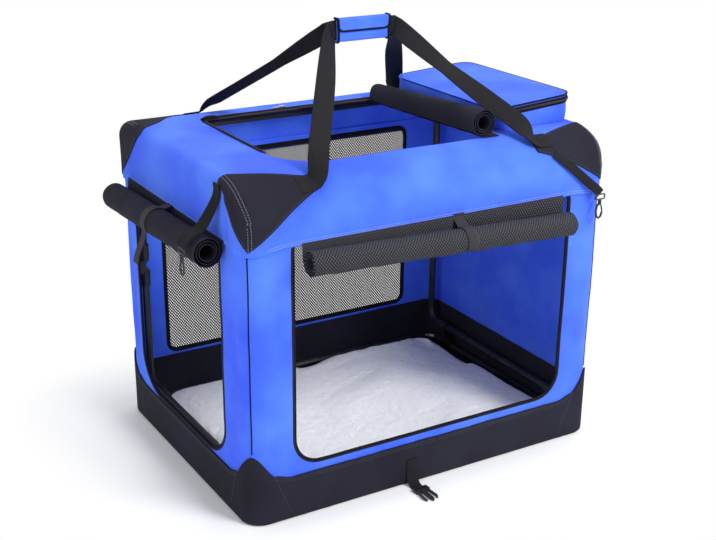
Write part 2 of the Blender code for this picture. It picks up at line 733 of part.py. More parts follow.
def roof_solid(name, offset, bottom):
    reach = HALF_LENGTH + offset
    solid = plate(name, [shoulder_profile(offset, bottom)], -reach, reach, "X")
    plan = plate(f"{name}_plan", [body_outline(offset)], bottom - CUT_OVERRUN, BODY_HEIGHT + CUT_OVERRUN)
    return settle(keep(solid, plan))


def make_roof():
    cover = roof_solid("roof_cover", 0.0, HEM_HEIGHT)
    cut(cover, roof_solid("roof_hollow", -COVER_SKIN, HEM_HEIGHT - CUT_OVERRUN))
    hatch = rounded_box(HATCH_LEFT, HATCH_NEAR, HATCH_RIGHT, HATCH_FAR, HATCH_CORNER)
    low = BODY_HEIGHT - SHOULDER_RISE / 2
    cut(cover, plate("hatch_cut", [hatch], low, BODY_HEIGHT + CUT_OVERRUN))
    finish(cover, "blue", TOP)


def make_patches():
    """Corner patches: pieces of a skin just outside the roof cover."""
    low = PATCH_TIP_Z - CUT_MARGIN
    skin = roof_solid("patch_skin", PART_GAP + PATCH_SKIN, low)
    settle(cut(skin, roof_solid("patch_core", PART_GAP, low - CUT_OVERRUN)))
    far_x = HALF_LENGTH + CUT_OVERRUN
    far_y = HALF_WIDTH + CUT_OVERRUN
    far_z = BODY_HEIGHT + CUT_OVERRUN
    for name, sx, sy in (("patch_front_left", -1, -1), ("patch_front_right", 1, -1),
                         ("patch_back_left", -1, 1), ("patch_back_right", 1, 1)):
        patch = copy_of(skin, name)
        face = [(far_x, PATCH_TIP_Z), (HALF_LENGTH, PATCH_TIP_Z), (PATCH_EDGE_X, PATCH_EDGE_Z),
                (PATCH_TAB_X, PATCH_TAB_Z), (PATCH_TAB_X, far_z), (far_x, far_z)]
        plan = [(far_x, PATCH_TOP_Y), (HALF_LENGTH, PATCH_TOP_Y), (PATCH_MID_X, PATCH_MID_Y),
                (PATCH_TAB_X, PATCH_TAB_Y), (PATCH_TAB_X, far_y), (far_x, far_y)]
        chord = [(HALF_WIDTH + PATCH_SKIN, PATCH_TIP_Z - CUT_MARGIN), (PATCH_TOP_Y - CUT_MARGIN, PATCH_TOP_Z),
                 (PATCH_TOP_Y - CUT_MARGIN, far_z), (far_y, far_z), (far_y, PATCH_TIP_Z - CUT_MARGIN)]
        ys = sorted((0.0, sy * far_y))
        keep(patch, plate(f"{name}_face", [[(u * sx, v) for u, v in face]], *ys, "Y"))
        keep(patch, plate(f"{name}_plan", [[(u * sx, v * sy) for u, v in plan]], 0.0, far_z))
        xs = sorted((0.0, sx * far_x))
        keep(patch, plate(f"{name}_chord", [[(u * sy, v) for u, v in chord]], *xs, "X"))
        finish(patch, "black_cloth", TOP)


def make_frames():
    loop = [(RAIL_X, -BASE_RAIL_Y, BASE_RAIL_Z), (RAIL_X, BASE_RAIL_Y, BASE_RAIL_Z),
            (-RAIL_X, BASE_RAIL_Y, BASE_RAIL_Z), (-RAIL_X, -BASE_RAIL_Y, BASE_RAIL_Z)]
    base_loop = tube("base_frame", bent_path(loop, BASE_RAIL_CORNER, cyclic=True), TUBE_RADIUS, True)
    finish(base_loop, "steel", BASE)
    loop = [(RAIL_X, -TOP_RAIL_Y, TOP_RAIL_Z), (RAIL_X, TOP_RAIL_Y, TOP_RAIL_Z),
            (-RAIL_X, TOP_RAIL_Y, TOP_RAIL_Z), (-RAIL_X, -TOP_RAIL_Y, TOP_RAIL_Z)]
    top_loop = tube("top_frame", bent_path(loop, TOP_RAIL_CORNER, cyclic=True), TUBE_RADIUS, True)
    finish(top_loop, "steel", TOP)
    for side, sign in (("left", -1), ("right", 1)):
        x = sign * LEG_X
        for level, shaft, end, body in (
                ("lower", LOWER_SHAFT_Z, ELBOW_Z - TUBE_END_SETBACK, LOWER[side]),
                ("upper", UPPER_SHAFT_Z, ELBOW_Z + TUBE_END_SETBACK, UPPER[side])):
            path = [(x, -LEG_Y, end), (x, -LEG_Y, shaft), (x, LEG_Y, shaft), (x, LEG_Y, end)]
            legs = tube(f"{side}_{level}_frame", bent_path(path, LEG_BEND), TUBE_RADIUS)
            finish(legs, "steel", body)


def elbow_outline(direction):
    """Side view of an ear or tongue: round at the pin, square where it meets its sleeve."""
    shoulder = ELBOW_SHOULDER + PART_GAP
    deep = shoulder + ELBOW_SHOULDER / 2
    back = ELBOW_OFFSET + SLEEVE_RADIUS - CUT_MARGIN / 2
    outline = arc(0.0, 0.0, EAR_RADIUS, EAR_RADIUS, 180, 360, 8)
    outline += [(back, shoulder), (back, deep), (CUT_MARGIN / 2, deep), (-EAR_RADIUS / 2, shoulder)]
    return [(u, v * direction) for u, v in outline]


def make_elbow(side, sign, place, y):
    """Fork on the lower tube, tongue on the upper tube, rivet in the fork's ears."""
    pin = (sign * (LEG_X + ELBOW_OFFSET), y, ELBOW_Z)
    inward = -sign
    for kind, direction, body in (("fork", -1, LOWER[side]), ("tongue", 1, UPPER[side])):
        name = f"{side}_{place}_elbow_{kind}"
        near = ELBOW_Z + direction * ELBOW_SHOULDER
        far = near + direction * SLEEVE_LENGTH
        sleeve = cylinder(name, SLEEVE_RADIUS, min(near, far), max(near, far), (sign * LEG_X, y, 0))
        outline = [(pin[0] + u * inward, pin[2] + v) for u, v in elbow_outline(direction)]
        half = TONGUE_THICKNESS / 2
        if kind == "tongue":
            layers = [(y - half, y + half)]
        else:
            ear = half + PART_GAP
            layers = [(y + ear, y + ear + EAR_THICKNESS), (y - ear - EAR_THICKNESS, y - ear)]
        for i, (low, high) in enumerate(layers):
            unite(sleeve, plate(f"{name}_ear_{i}", [outline], low, high, "Y"))
        start = ELBOW_Z + direction * (TUBE_END_SETBACK - PART_GAP)
        stop = far + direction * CUT_OVERRUN
        bore = cylinder(f"{name}_bore", TUBE_RADIUS + TUBE_CLEARANCE, min(start, stop), max(start, stop),
                        (sign * LEG_X, y, 0))
        cut(sleeve, bore)
        ear_out = TONGUE_THICKNESS / 2 + PART_GAP + EAR_THICKNESS
        if kind == "tongue":
            hole = cylinder(f"{name}_hole", RIVET_RADIUS + TUBE_CLEARANCE, -ear_out, ear_out, pin, "Y", 10)
            cut(sleeve, hole)
        else:
            shank = cylinder(f"{name}_rivet", RIVET_RADIUS, -ear_out - RIVET_HEAD_HEIGHT,
                             ear_out + RIVET_HEAD_HEIGHT, pin, "Y", 10)
            unite(sleeve, shank)
            for low in (-ear_out - RIVET_HEAD_HEIGHT, ear_out - RIVET_HEAD_HEIGHT):
                head = cylinder(f"{name}_head_{low:.3f}", RIVET_HEAD_RADIUS, low,
                                low + 2 * RIVET_HEAD_HEIGHT, pin, "Y", 10)
                unite(sleeve, head)
        finish(sleeve, "plastic", body)


def make_clips():
    """Plastic clips: one bore round the frame's rail, one that the shaft turns in."""
    bore = TUBE_RADIUS + TUBE_CLEARANCE
    for side, sign in (("left", -1), ("right", 1)):
        for level, rail_z, shaft_z, body in (("base", BASE_RAIL_Z, LOWER_SHAFT_Z, BASE),
                                             ("top", TOP_RAIL_Z, UPPER_SHAFT_Z, TOP)):
            rail = (sign * RAIL_X, rail_z)
            shaft = (sign * LEG_X, shaft_z)
            outline = hull_of_two_circles(rail, bore + CLIP_RAIL_WALL, shaft, bore + CLIP_WALL)
            loops = [outline, circle(*rail, bore), circle(*shaft, bore)]
            for place, y in (("front", -CLIP_Y), ("back", CLIP_Y)):
                half = CLIP_WIDTH / 2
                clip = plate(f"{side}_{place}_{level}_clip", loops, y - half, y + half, "Y")
                finish(clip, "plastic", body)


def make_mat():
    """Fleece mat: crowned in the middle, drawn in along its sides, flat below."""
    half = (MAT_LENGTH / 2, MAT_WIDTH / 2)
    shape, shares = padded_grid("mat", (-half[0], -half[1]), half, MAT_CORNER, MAT_COLUMNS, MAT_ROWS)
    foot = TRAY_FLOOR_TOP + PART_GAP
    for vert in shape.verts:
        u, v = shares[vert.index]
        pull = MAT_PULL * (1 - u * u) * v * v
        vert.co.y -= math.copysign(pull, vert.co.y)
        pull = MAT_PULL * (1 - v * v) * u * u
        vert.co.x -= math.copysign(pull, vert.co.x)
        vert.co.z = foot + MAT_THICKNESS + MAT_CROWN * (1 - u ** 4) * (1 - v ** 4)
    rim = [edge for edge in shape.edges if edge.is_boundary]
    wall = bmesh.ops.extrude_edge_only(shape, edges=rim)
    low = [item for item in wall["geom"] if isinstance(item, bmesh.types.BMVert)]
    for vert in low:
        vert.co.z = foot
    bottom = [edge for edge in shape.edges if edge.is_boundary]
    inset = bmesh.ops.extrude_edge_only(shape, edges=bottom)
    ring = [item for item in inset["geom"] if isinstance(item, bmesh.types.BMVert)]
    for vert in ring:
        vert.co.x -= math.copysign(MAT_ROLL, vert.co.x)
        vert.co.y -= math.copysign(MAT_ROLL, vert.co.y)
    bmesh.ops.contextual_create(shape, geom=[edge for edge in shape.edges if edge.is_boundary])
    bmesh.ops.recalc_face_normals(shape, faces=shape.faces)
    mesh = bpy.data.meshes.new("floor_mat")
    shape.to_mesh(mesh)
    shape.free()
    mat = link("floor_mat", mesh)
    soft = mat.modifiers.new("soft", "SUBSURF")
    soft.levels = 1
    soft.render_levels = 1
    finish(mat, "fleece", BASE)


def roll_reach(radius, start, clockwise, angle):
    """Radius of a roll's outermost turn at an angle in degrees."""
    pitch = radius * (1 - ROLL_BORE_SHARE) / ROLL_TURNS
    turned = (start - angle) if clockwise else (angle - start)
    return radius - pitch * (turned % 360) / 360


def roll_outline(radius, start, clockwise):
    """Spiral outline of a rolled panel, from its outer end to its hollow middle."""
    pitch = radius * (1 - ROLL_BORE_SHARE) / ROLL_TURNS
    cloth = min(ROLL_CLOTH, pitch - 2 * PART_GAP)
    count = ROLL_TURNS * ROLL_SEGMENTS
    outer = []
    inner = []
    for i in range(count + 1):
        turn = i / ROLL_SEGMENTS
        angle = math.radians(start) + (-1 if clockwise else 1) * 2 * math.pi * turn
        reach = radius - pitch * turn
        outer.append((reach * math.cos(angle), reach * math.sin(angle)))
        inner.append(((reach - cloth) * math.cos(angle), (reach - cloth) * math.sin(angle)))
    return outer + inner[::-1]


def make_roll(name, first, last, radii, start, clockwise, body, color):
    """A rolled panel along Y or X between two end centres, with a radius at each end."""
    first = Vector(first)
    last = Vector(last)
    axis = "Y" if abs(last.y - first.y) > abs(last.x - first.x) else "X"
    length = (last - first).length
    roll = plate(name, [roll_outline(radii[0], start, clockwise)], 0.0, length, axis)
    along = 1 if axis == "Y" else 0
    for vert in roll.data.vertices:
        share = vert.co[along] / length
        grow = 1 + (radii[1] / radii[0] - 1) * share
        spread = Vector([vert.co[k] * grow if k != along else 0.0 for k in range(3)])
        vert.co = first + (last - first) * share + spread
    roll.data.update()
    return finish(roll, color, body)


def make_rolls():
    # The hatch roll lies on the hatch's near edge, and its far end sinks into the hatch
    near_y = HATCH_NEAR - TOP_ROLL_LAP
    far_y = HATCH_FAR - TOP_ROLL_FAR_INSET
    lap = TOP_ROLL_LAP / (far_y - near_y)
    far_low = BODY_HEIGHT - TOP_ROLL_SINK
    near_low = (roof_height(HATCH_NEAR, PART_GAP) - lap * far_low) / (1 - lap)
    make_roll("hatch_roll", (TOP_ROLL_NEAR_X, near_y, near_low + TOP_ROLL_NEAR_RADIUS),
              (TOP_ROLL_FAR_X, far_y, far_low + TOP_ROLL_FAR_RADIUS),
              (TOP_ROLL_NEAR_RADIUS, TOP_ROLL_FAR_RADIUS), HATCH_ROLL_START_DEG, False, TOP, "black_cloth")
    make_roll("door_roll", *DOOR_ROLL, (DOOR_ROLL_RADIUS, DOOR_ROLL_RADIUS), SIDE_ROLL_START_DEG, True,
              TOP, "black_cloth")
    make_roll("window_roll", *WINDOW_ROLL, (WINDOW_ROLL_RADIUS, WINDOW_ROLL_RADIUS), SIDE_ROLL_START_DEG,
              True, TOP, "net")


def roll_tie(name, wall_u, root_z, roll, radius, place, tail):
    """A tie sewn to the roof band, over the roll and down its outer side.

    It is drawn in a plane of (distance outward, z) and laid at its place along the roll.
    """
    first, last = (Vector(end) for end in roll)
    run = last - first
    along, out = (1, 0) if abs(run.y) > abs(run.x) else (0, 1)
    middle = first + run * (place - first[along]) / run[along]
    stand = PART_GAP + TIE_THICKNESS / 2
    face = wall_u + stand
    path = [(face, root_z), (face, (root_z + middle.z + radius) / 2)]
    step = (TIE_ARC_END_DEG - TIE_ARC_START_DEG) / TIE_ARC_STEPS
    for i in range(TIE_ARC_STEPS + 1):
        angle = TIE_ARC_START_DEG + step * i
        ring = roll_reach(radius, SIDE_ROLL_START_DEG, True, angle) + stand
        ring /= math.cos(math.radians(step / 2))
        turn = math.radians(angle)
        path.append((-middle[out] - ring * math.cos(turn), middle.z + ring * math.sin(turn)))
    end_u, end_z = path[-1]
    if tail:
        path.append((end_u + DOOR_TIE_TAIL_FLARE / 2, end_z - DOOR_TIE_TAIL_DROP / 2))
        path.append((end_u + DOOR_TIE_TAIL_FLARE, end_z - DOOR_TIE_TAIL_DROP))
    stations = []
    for u, z in path:
        point = Vector((0, 0, z))
        point[along] = place
        point[out] = -u
        stations.append((point, run, TIE_WIDTH))
    return finish(strap(name, stations, TIE_THICKNESS), "webbing", TOP)


def make_ties():
    roll_tie("door_roll_tie", HALF_LENGTH, DOOR_TIE_ROOT_Z, DOOR_ROLL, DOOR_ROLL_RADIUS, DOOR_TIE_Y, True)
    roll_tie("window_roll_tie", HALF_WIDTH, WINDOW_TIE_ROOT_Z, WINDOW_ROLL, WINDOW_ROLL_RADIUS,
             WINDOW_TIE_X, False)


def pocket_rim(x):
    rise = (POCKET_RIGHT_RIM - POCKET_LEFT_RIM) / (POCKET_RIGHT - POCKET_LEFT)
    return POCKET_LEFT_RIM + (x - POCKET_LEFT) * rise


def make_pocket():
    foot = BODY_HEIGHT + PART_GAP
    outline = rounded_box(POCKET_LEFT, POCKET_NEAR, POCKET_RIGHT, POCKET_FAR, POCKET_CORNER)
    s = POCKET_SKIN
    inside = rounded_box(POCKET_LEFT + s, POCKET_NEAR + s, POCKET_RIGHT - s, POCKET_FAR - s,
                         POCKET_CORNER - s)
    box = plate("pocket", [outline], foot, POCKET_RIGHT_RIM + CUT_OVERRUN)
    cut(box, plate("pocket_hollow", [inside], foot + s, POCKET_RIGHT_RIM + 2 * CUT_OVERRUN))
    left = POCKET_LEFT - CUT_OVERRUN
    right = POCKET_RIGHT + CUT_OVERRUN
    high = POCKET_RIGHT_RIM + 2 * CUT_OVERRUN
    above = [(left, pocket_rim(left)), (right, pocket_rim(right)), (right, high), (left, high)]
    cut(box, plate("pocket_above", [above], POCKET_NEAR - CUT_OVERRUN, POCKET_FAR + CUT_OVERRUN, "Y"))
    finish(box, "blue", TOP)
    hinge = body_empty("pocket_lid_body", (POCKET_LEFT, 0, POCKET_LEFT_RIM), TOP)
    shape, shares = padded_grid("lid", (POCKET_LEFT, POCKET_NEAR), (POCKET_RIGHT, POCKET_FAR),
                                POCKET_CORNER, LID_COLUMNS, LID_ROWS)
    for vert in shape.verts:
        u, v = shares[vert.index]
        swell = POCKET_CROWN * (1 - u ** 4) * (1 - v ** 4)
        vert.co.z = pocket_rim(vert.co.x) + PART_GAP + swell
    bmesh.ops.recalc_face_normals(shape, faces=shape.faces)
    if next(iter(shape.faces)).normal.z < 0:
        bmesh.ops.reverse_faces(shape, faces=shape.faces)
    mesh = bpy.data.meshes.new("pocket_lid")
    shape.to_mesh(mesh)
    shape.free()
    lid = link("pocket_lid", mesh)
    wall = lid.modifiers.new("cloth", "SOLIDIFY")
    wall.thickness = POCKET_LID_SKIN
    wall.offset = 1.0
    finish(lid, "blue", hinge)


def roof_height(y, offset=0.0):
    """Height of the roof at a place across the crate, on a skin grown by an offset."""
    inner = HALF_WIDTH - SHOULDER_RUN
    over = max(0.0, abs(y) - inner) / (SHOULDER_RUN + offset)
    return SHOULDER_Z + (SHOULDER_RISE + offset) * math.sqrt(max(0.0, 1 - over * over))


def roof_side(z, offset=0.0):
    """How far out the roof's shoulder is at a height, on a skin grown by an offset."""
    rise = max(0.0, z - SHOULDER_Z) / (SHOULDER_RISE + offset)
    return HALF_WIDTH - SHOULDER_RUN + (SHOULDER_RUN + offset) * math.sqrt(max(0.0, 1 - rise * rise))


def handle_strap(name, sy, web_y):
    """One webbing from a left patch up through the grip and down to the right patch."""
    lie = WEB_THICKNESS / 2 + PATCH_SKIN + 2 * PART_GAP
    foot_y = sy * STRAP_FOOT_Y
    fall = (roof_height(foot_y + CUT_MARGIN) - roof_height(foot_y - CUT_MARGIN)) / (2 * CUT_MARGIN)
    slope = Vector((0, 1, fall)).normalized() * -sy
    upright = Vector((0, 0, 1))
    lift = upright * STRAP_FOOT_LIFT
    stations = []
    for sx in (-1, 1):
        end_x = GRIP_X + sx * GRIP_LENGTH / 2
        tab = Vector((sx * STRAP_TAB_X, foot_y, roof_height(foot_y, lie)))
        foot = Vector((sx * STRAP_FOOT_X, foot_y, roof_height(foot_y, lie))) + lift
        leave = Vector((end_x + sx * WEB_WIDTH / 2, web_y + sy * WEB_WIDTH / 4, GRIP_WEB_Z - WEB_WIDTH / 5))
        level = Vector((foot.y - leave.y, leave.x - foot.x, 0)).normalized()
        level *= math.copysign(1, level.x) * sx
        half = [(tab, slope, WEB_WIDTH), (foot, level + slope * STRAP_FOOT_TURN_SHARE, WEB_WIDTH)]
        for way, rise, turn in STRAP_RUN_SHARES:
            half.append((foot.lerp(leave, way) + lift * rise, level + upright * turn, WEB_WIDTH))
        half.append((leave, level * STRAP_LEAVE_TURN_SHARE + upright, WEB_WIDTH))
        half.append((Vector((end_x, web_y, GRIP_WEB_Z)), upright, WEB_WIDTH))
        stations += half if sx < 0 else half[::-1]
    return finish(strap(name, stations, WEB_THICKNESS), "webbing", TOP)


def make_handle():
    slide = body_empty("grip", (GRIP_X, GRIP_Y, GRIP_WEB_Z), TOP)
    handle_strap("front_handle_strap", -1, GRIP_Y - WEB_SPACING / 2)
    handle_strap("back_handle_strap", 1, GRIP_Y + WEB_SPACING / 2)
    x0 = GRIP_X - GRIP_LENGTH / 2
    x1 = GRIP_X + GRIP_LENGTH / 2
    slot = WEB_SPACING + WEB_THICKNESS + 2 * PART_GAP
    web_low = GRIP_WEB_Z - WEB_WIDTH / 2
    web_high = GRIP_WEB_Z + WEB_WIDTH / 2
    out = slot / 2 + GRIP_WALL
    floor = web_low - PART_GAP - GRIP_FLOOR
    outer = rounded_box(GRIP_Y - out, floor, GRIP_Y + out, web_high, GRIP_CORNER, GRIP_CORNER / 2, 4)
    grip = plate("handle_grip", [outer], x0, x1, "X")
    trough = rounded_box(GRIP_Y - slot / 2, web_low - PART_GAP, GRIP_Y + slot / 2, web_high + CUT_OVERRUN,
                         PART_GAP, PART_GAP, 1)
    cut(grip, plate("grip_trough", [trough], x0 - CUT_OVERRUN, x1 + CUT_OVERRUN, "X"))
    finish(grip, "blue", slide)
    back = GRIP_Y + out
    front = GRIP_Y - out - PART_GAP
    low = web_high + PART_GAP
    t = FLAP_THICKNESS
    flap_body = body_empty("grip_flap_body", (GRIP_X, back, web_high), slide)
    outline = arc(front, low, t, t, 180, 90, 4)
    outline += arc(back - t / 2, low + t / 2, t / 2, t / 2, 90, -90, 4)
    outline += [(front, low), (front, low - FLAP_DROP)]
    outline += arc(front - t / 2, low - FLAP_DROP, t / 2, t / 2, 0, -180, 4)[1:]
    flap = plate("grip_flap", [outline], x0, x1, "X")
    finish(flap, "blue", flap_body)


def make_hook(side, eye_place, stations, facing):
    """Webbing tab, eye and swivel hook with its sprung gate.

    eye_place is the middle of the eye's lower bar; the hook hangs straight below it.
    """
    finish(strap(f"{side}_hook_strap", stations, HOOK_WEB_THICKNESS), "webbing", TOP)
    turn = Matrix.Translation(eye_place) @ Matrix.Rotation(facing, 4, "Z")
    half = EYE_WIDTH / 2
    corners = ((-half, 0, 0), (half, 0, 0), (half, 0, EYE_HEIGHT), (-half, 0, EYE_HEIGHT))
    ring = [turn @ Vector(corner) for corner in corners]
    eye = tube(f"{side}_hook_eye", bent_path(ring, 2 * EYE_WIRE, 3, cyclic=True), EYE_WIRE, True, 1)
    finish(eye, "plastic", TOP)
    swivel = body_empty(f"{side}_hook_body", eye_place, TOP)
    high = -EYE_WIRE - PART_GAP
    low = high - SWIVEL_LENGTH
    hook = cylinder(f"{side}_hook", SWIVEL_RADIUS, low, high, (0, 0, 0), "Z", 14)
    centre = low - HOOK_LOOP_HEIGHT / 2 + HOOK_WIRE
    path = [(0, 0, low + SWIVEL_LENGTH / 2), (0, 0, low)]
    for i in range(HOOK_STEPS + 1):
        angle = math.radians(HOOK_START_DEG + HOOK_SWEEP_DEG * i / HOOK_STEPS)
        z = centre + HOOK_LOOP_HEIGHT / 2 * math.sin(angle)
        path.append((HOOK_HALF_WIDTH * math.cos(angle), 0.0, z))
    path.append((HOOK_HALF_WIDTH, 0.0, centre - HOOK_LOOP_HEIGHT * GATE_TIP_SHARE / 4))
    unite(hook, tube(f"{side}_hook_loop", path, HOOK_WIRE, False, 2))
    settle(hook)
    hook.data.transform(turn)
    finish(hook, "plastic", swivel)
    tip = Vector(path[-1]) + Vector((0, 0, 3 * PART_GAP))
    root = Vector((HOOK_WIRE + GATE_WIRE + 2 * PART_GAP, 0.0, low - GATE_WIRE - PART_GAP))
    gate_body = body_empty(f"{side}_gate_body", turn @ root, swivel)
    gate = tube(f"{side}_hook_gate", [turn @ root, turn @ tip], GATE_WIRE, False, 2)
    finish(gate, "plastic", gate_body)


def make_hooks():
    """Each tab is sewn on a corner patch, and its hook can turn clear of all beside it."""
    stand = PATCH_SKIN + 2 * PART_GAP + HOOK_WEB_THICKNESS / 2
    turning = HOOK_HALF_WIDTH + HOOK_WIRE + 2 * PART_GAP
    eye_top = EYE_HEIGHT + EYE_WIRE + PART_GAP
    # Left: over the door roll's near end, then down its outer side
    roll_out = -DOOR_ROLL_X + DOOR_ROLL_RADIUS
    roll_top = DOOR_ROLL_NEAR_Z + DOOR_ROLL_RADIUS
    face = HALF_LENGTH + stand
    y = DOOR_ROLL_NEAR_Y + HOOK_WEB_WIDTH
    eye_x = -roll_out - turning
    eye_z = roll_top - 2 * EYE_HEIGHT - eye_top
    lift = 2 * HOOK_WEB_THICKNESS
    points = [(-face, y, PATCH_TOP_Z - CUT_MARGIN), (-face, y, PATCH_TOP_Z - BAND_HEIGHT / 3),
              (-(face + roll_out) / 2, y, roll_top + 4 * lift), (-roll_out + 2 * lift, y, roll_top + lift),
              (eye_x + lift / 2, y, roll_top - EYE_HEIGHT), (eye_x, y, eye_z + eye_top)]
    stations = [(point, (0, 1, 0), HOOK_WEB_WIDTH) for point in points]
    make_hook("left", (eye_x, y, eye_z), stations, math.pi / 2)
    # Right: loosely down the front from the patch's edge to the corner
    start_z = PATCH_EDGE_Z + BAND_HEIGHT / 5
    start = Vector((PATCH_EDGE_X - CORNER_RADIUS, -roof_side(start_z, stand), start_z))
    eye = Vector((HALF_LENGTH - CORNER_RADIUS + EYE_HEIGHT, -HALF_WIDTH - PATCH_SKIN - turning,
                  PATCH_TIP_Z - EYE_WIRE))
    stop = eye + Vector((0, 0, eye_top))
    bend = stop + Vector((-EYE_HEIGHT, 0, EYE_HEIGHT))
    run = (bend - start).normalized()
    across = Vector((-run.z, 0, run.x)).normalized()
    across *= math.copysign(1, across.x)
    stations = []
    for i in range(HOOK_LAY_STEPS):
        point = start.lerp(bend, i / HOOK_LAY_STEPS)
        bow = HOOK_WEB_THICKNESS * math.sin(math.pi * i / HOOK_LAY_STEPS)
        point.y = min(point.y, -roof_side(point.z, stand) - bow)
        lean = (roof_side(point.z - CUT_MARGIN) - roof_side(point.z + CUT_MARGIN)) / (2 * CUT_MARGIN)
        stations.append((point, (across.x, across.z * lean, across.z), HOOK_WEB_WIDTH))
    stations += [(bend, across + Vector((1, 0, 0)), HOOK_WEB_WIDTH), (stop, (1, 0, 0), HOOK_WEB_WIDTH)]
    make_hook("right", eye, stations, 0.0)


def turned_out(outline, sy):
    """An outline drawn toward +Y, turned to the front or the back."""
    return [(u, v * sy) for u, v in outline]


def make_closing_strap(name, sy, body):
    """Webbing sewn to the base band, which falls to the floor; it ends at the returned reach."""
    face = HALF_WIDTH + PART_GAP + CLOSE_WEB_THICKNESS / 2
    low = PART_GAP + CLOSE_WEB_THICKNESS / 2
    stations = []
    for way, rise in CLOSE_FALL_SHARES:
        point = (CLOSE_X, sy * (face + CLOSE_REACH * way), low + (CLOSE_ROOT_Z - low) * rise)
        stations.append((point, (1, 0, 0), CLOSE_WEB_WIDTH))
    finish(strap(name, stations, CLOSE_WEB_THICKNESS), "webbing", body)
    return face + CLOSE_REACH


def webbing_slot(start):
    return rounded_box(CLOSE_X - CLOSE_WEB_WIDTH / 2, start + SLOT_LENGTH, CLOSE_X + CLOSE_WEB_WIDTH / 2,
                       start + 2 * SLOT_LENGTH, SLOT_LENGTH / 4, None, 2)


def make_male_buckle(start, sy, body):
    """Plug of the side-release buckle: a slotted base, a guide and two sprung prongs."""
    half = BUCKLE_WIDTH / 2
    arm = half / 4
    end = start + BUCKLE_BASE
    base = rounded_box(CLOSE_X - half, start, CLOSE_X + half, end, arm / 2, None, 3)
    loops = [turned_out(base, sy), turned_out(webbing_slot(start), sy)]
    block = plate("male_buckle", loops, 0.0, BUCKLE_THICKNESS)
    for kind, offset, wide, lean in (("left", arm - half, arm / 2, -arm / 2), ("guide", 0.0, arm, 0.0),
                                     ("right", half - arm, arm / 2, arm / 2)):
        u = CLOSE_X + offset
        tip = end + BUCKLE_PRONG - 2 * abs(lean)
        barb = tip - 2 * arm
        prong = [(u - wide, end - arm), (u + wide, end - arm), (u + wide, end + arm), (u + wide + lean, barb),
                 (u + wide / 2, tip), (u - wide / 2, tip), (u - wide + lean, barb), (u - wide, end + arm)]
        unite(block, plate(f"{kind}_prong", [turned_out(prong, sy)], SOCKET_WALL / 2,
                           BUCKLE_THICKNESS - SOCKET_WALL / 2))
    finish(block, "plastic", body)


def make_female_buckle(start, sy, body):
    """Socket of the side-release buckle: a slotted end and an open mouth."""
    half = BUCKLE_WIDTH / 2
    wall = SOCKET_WALL
    end = start + SOCKET_LENGTH
    outline = rounded_box(CLOSE_X - half - wall, start, CLOSE_X + half + wall, end, half / 3, None, 4)
    loops = [turned_out(outline, sy), turned_out(webbing_slot(start), sy)]
    shell = plate("female_buckle", loops, 0.0, BUCKLE_THICKNESS + 2 * wall)
    mouth = rounded_box(CLOSE_X - half + wall, wall, CLOSE_X + half - wall, BUCKLE_THICKNESS + wall,
                        wall, None, 2)
    low, high = sorted((sy * (start + BUCKLE_BASE - wall), sy * (end + CUT_OVERRUN)))
    cut(shell, plate("mouth", [mouth], low, high, "Y"))
    finish(shell, "plastic", body)


def make_buckles():
    for side, sy, make_end in (("front", -1, make_male_buckle), ("rear", 1, make_female_buckle)):
        body = body_empty(f"{side}_closing_body", (CLOSE_X, sy * HALF_WIDTH, CLOSE_ROOT_Z), BASE)
        reach = make_closing_strap(f"{side}_closing_strap", sy, body)
        make_end(reach + PART_GAP, sy, body)


def make_slider():
    """Slider of the hatch zip, with its pull lying flat."""
    y = HATCH_FAR + SLIDER_WIDTH
    foot = BODY_HEIGHT + PART_GAP
    runner = body_empty("slider_body", (SLIDER_X, y, foot), TOP)
    outline = hull_of_two_circles((SLIDER_X, y), SLIDER_WIDTH / 2, (SLIDER_X + SLIDER_LENGTH / 2, y),
                                  SLIDER_WIDTH / 3)
    body = plate("hatch_slider", [outline], foot, foot + SLIDER_HEIGHT)
    half = SLIDER_WIDTH / 4
    pull = rounded_box(SLIDER_X - PULL_LENGTH, y - half, SLIDER_X, y + half, half / 2, None, 3)
    unite(body, plate("hatch_pull", [pull], foot + SLIDER_HEIGHT / 3, foot + SLIDER_HEIGHT * 2 / 3))
    finish(body, "zinc", runner)


def make_all():
    make_tray()
    make_walls()
    make_net()
    make_frames()
    make_clips()
    for side, sign in (("left", -1), ("right", 1)):
        for place, y in (("front", -LEG_Y), ("back", LEG_Y)):
            make_elbow(side, sign, place, y)
    make_mat()
    make_roof()
    make_patches()
    make_pocket()
    make_rolls()
    make_ties()
    make_handle()
    make_hooks()
    make_buckles()
    make_slider()


make_all()
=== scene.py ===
import bisect
import math

import bmesh
import bpy
from mathutils import Matrix, Vector, noise
from mathutils.bvhtree import BVHTree


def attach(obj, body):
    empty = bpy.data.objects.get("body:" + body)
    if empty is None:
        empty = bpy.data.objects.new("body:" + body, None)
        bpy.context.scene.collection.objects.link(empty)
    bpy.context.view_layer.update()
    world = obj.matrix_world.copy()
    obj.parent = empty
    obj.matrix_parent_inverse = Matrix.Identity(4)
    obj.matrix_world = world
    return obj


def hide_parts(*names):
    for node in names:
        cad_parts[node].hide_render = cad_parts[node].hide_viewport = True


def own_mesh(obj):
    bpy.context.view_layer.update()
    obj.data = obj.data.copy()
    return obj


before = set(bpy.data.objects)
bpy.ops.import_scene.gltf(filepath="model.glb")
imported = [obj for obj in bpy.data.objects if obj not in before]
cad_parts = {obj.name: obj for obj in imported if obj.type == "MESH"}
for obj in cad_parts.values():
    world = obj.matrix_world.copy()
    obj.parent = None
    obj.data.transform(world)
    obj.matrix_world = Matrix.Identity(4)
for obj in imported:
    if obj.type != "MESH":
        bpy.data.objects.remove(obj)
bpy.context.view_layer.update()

# The crate's sizes, the same as the frame's, in metres
HALF_LENGTH = 0.405
HALF_WIDTH = 0.300
HEIGHT = 0.660
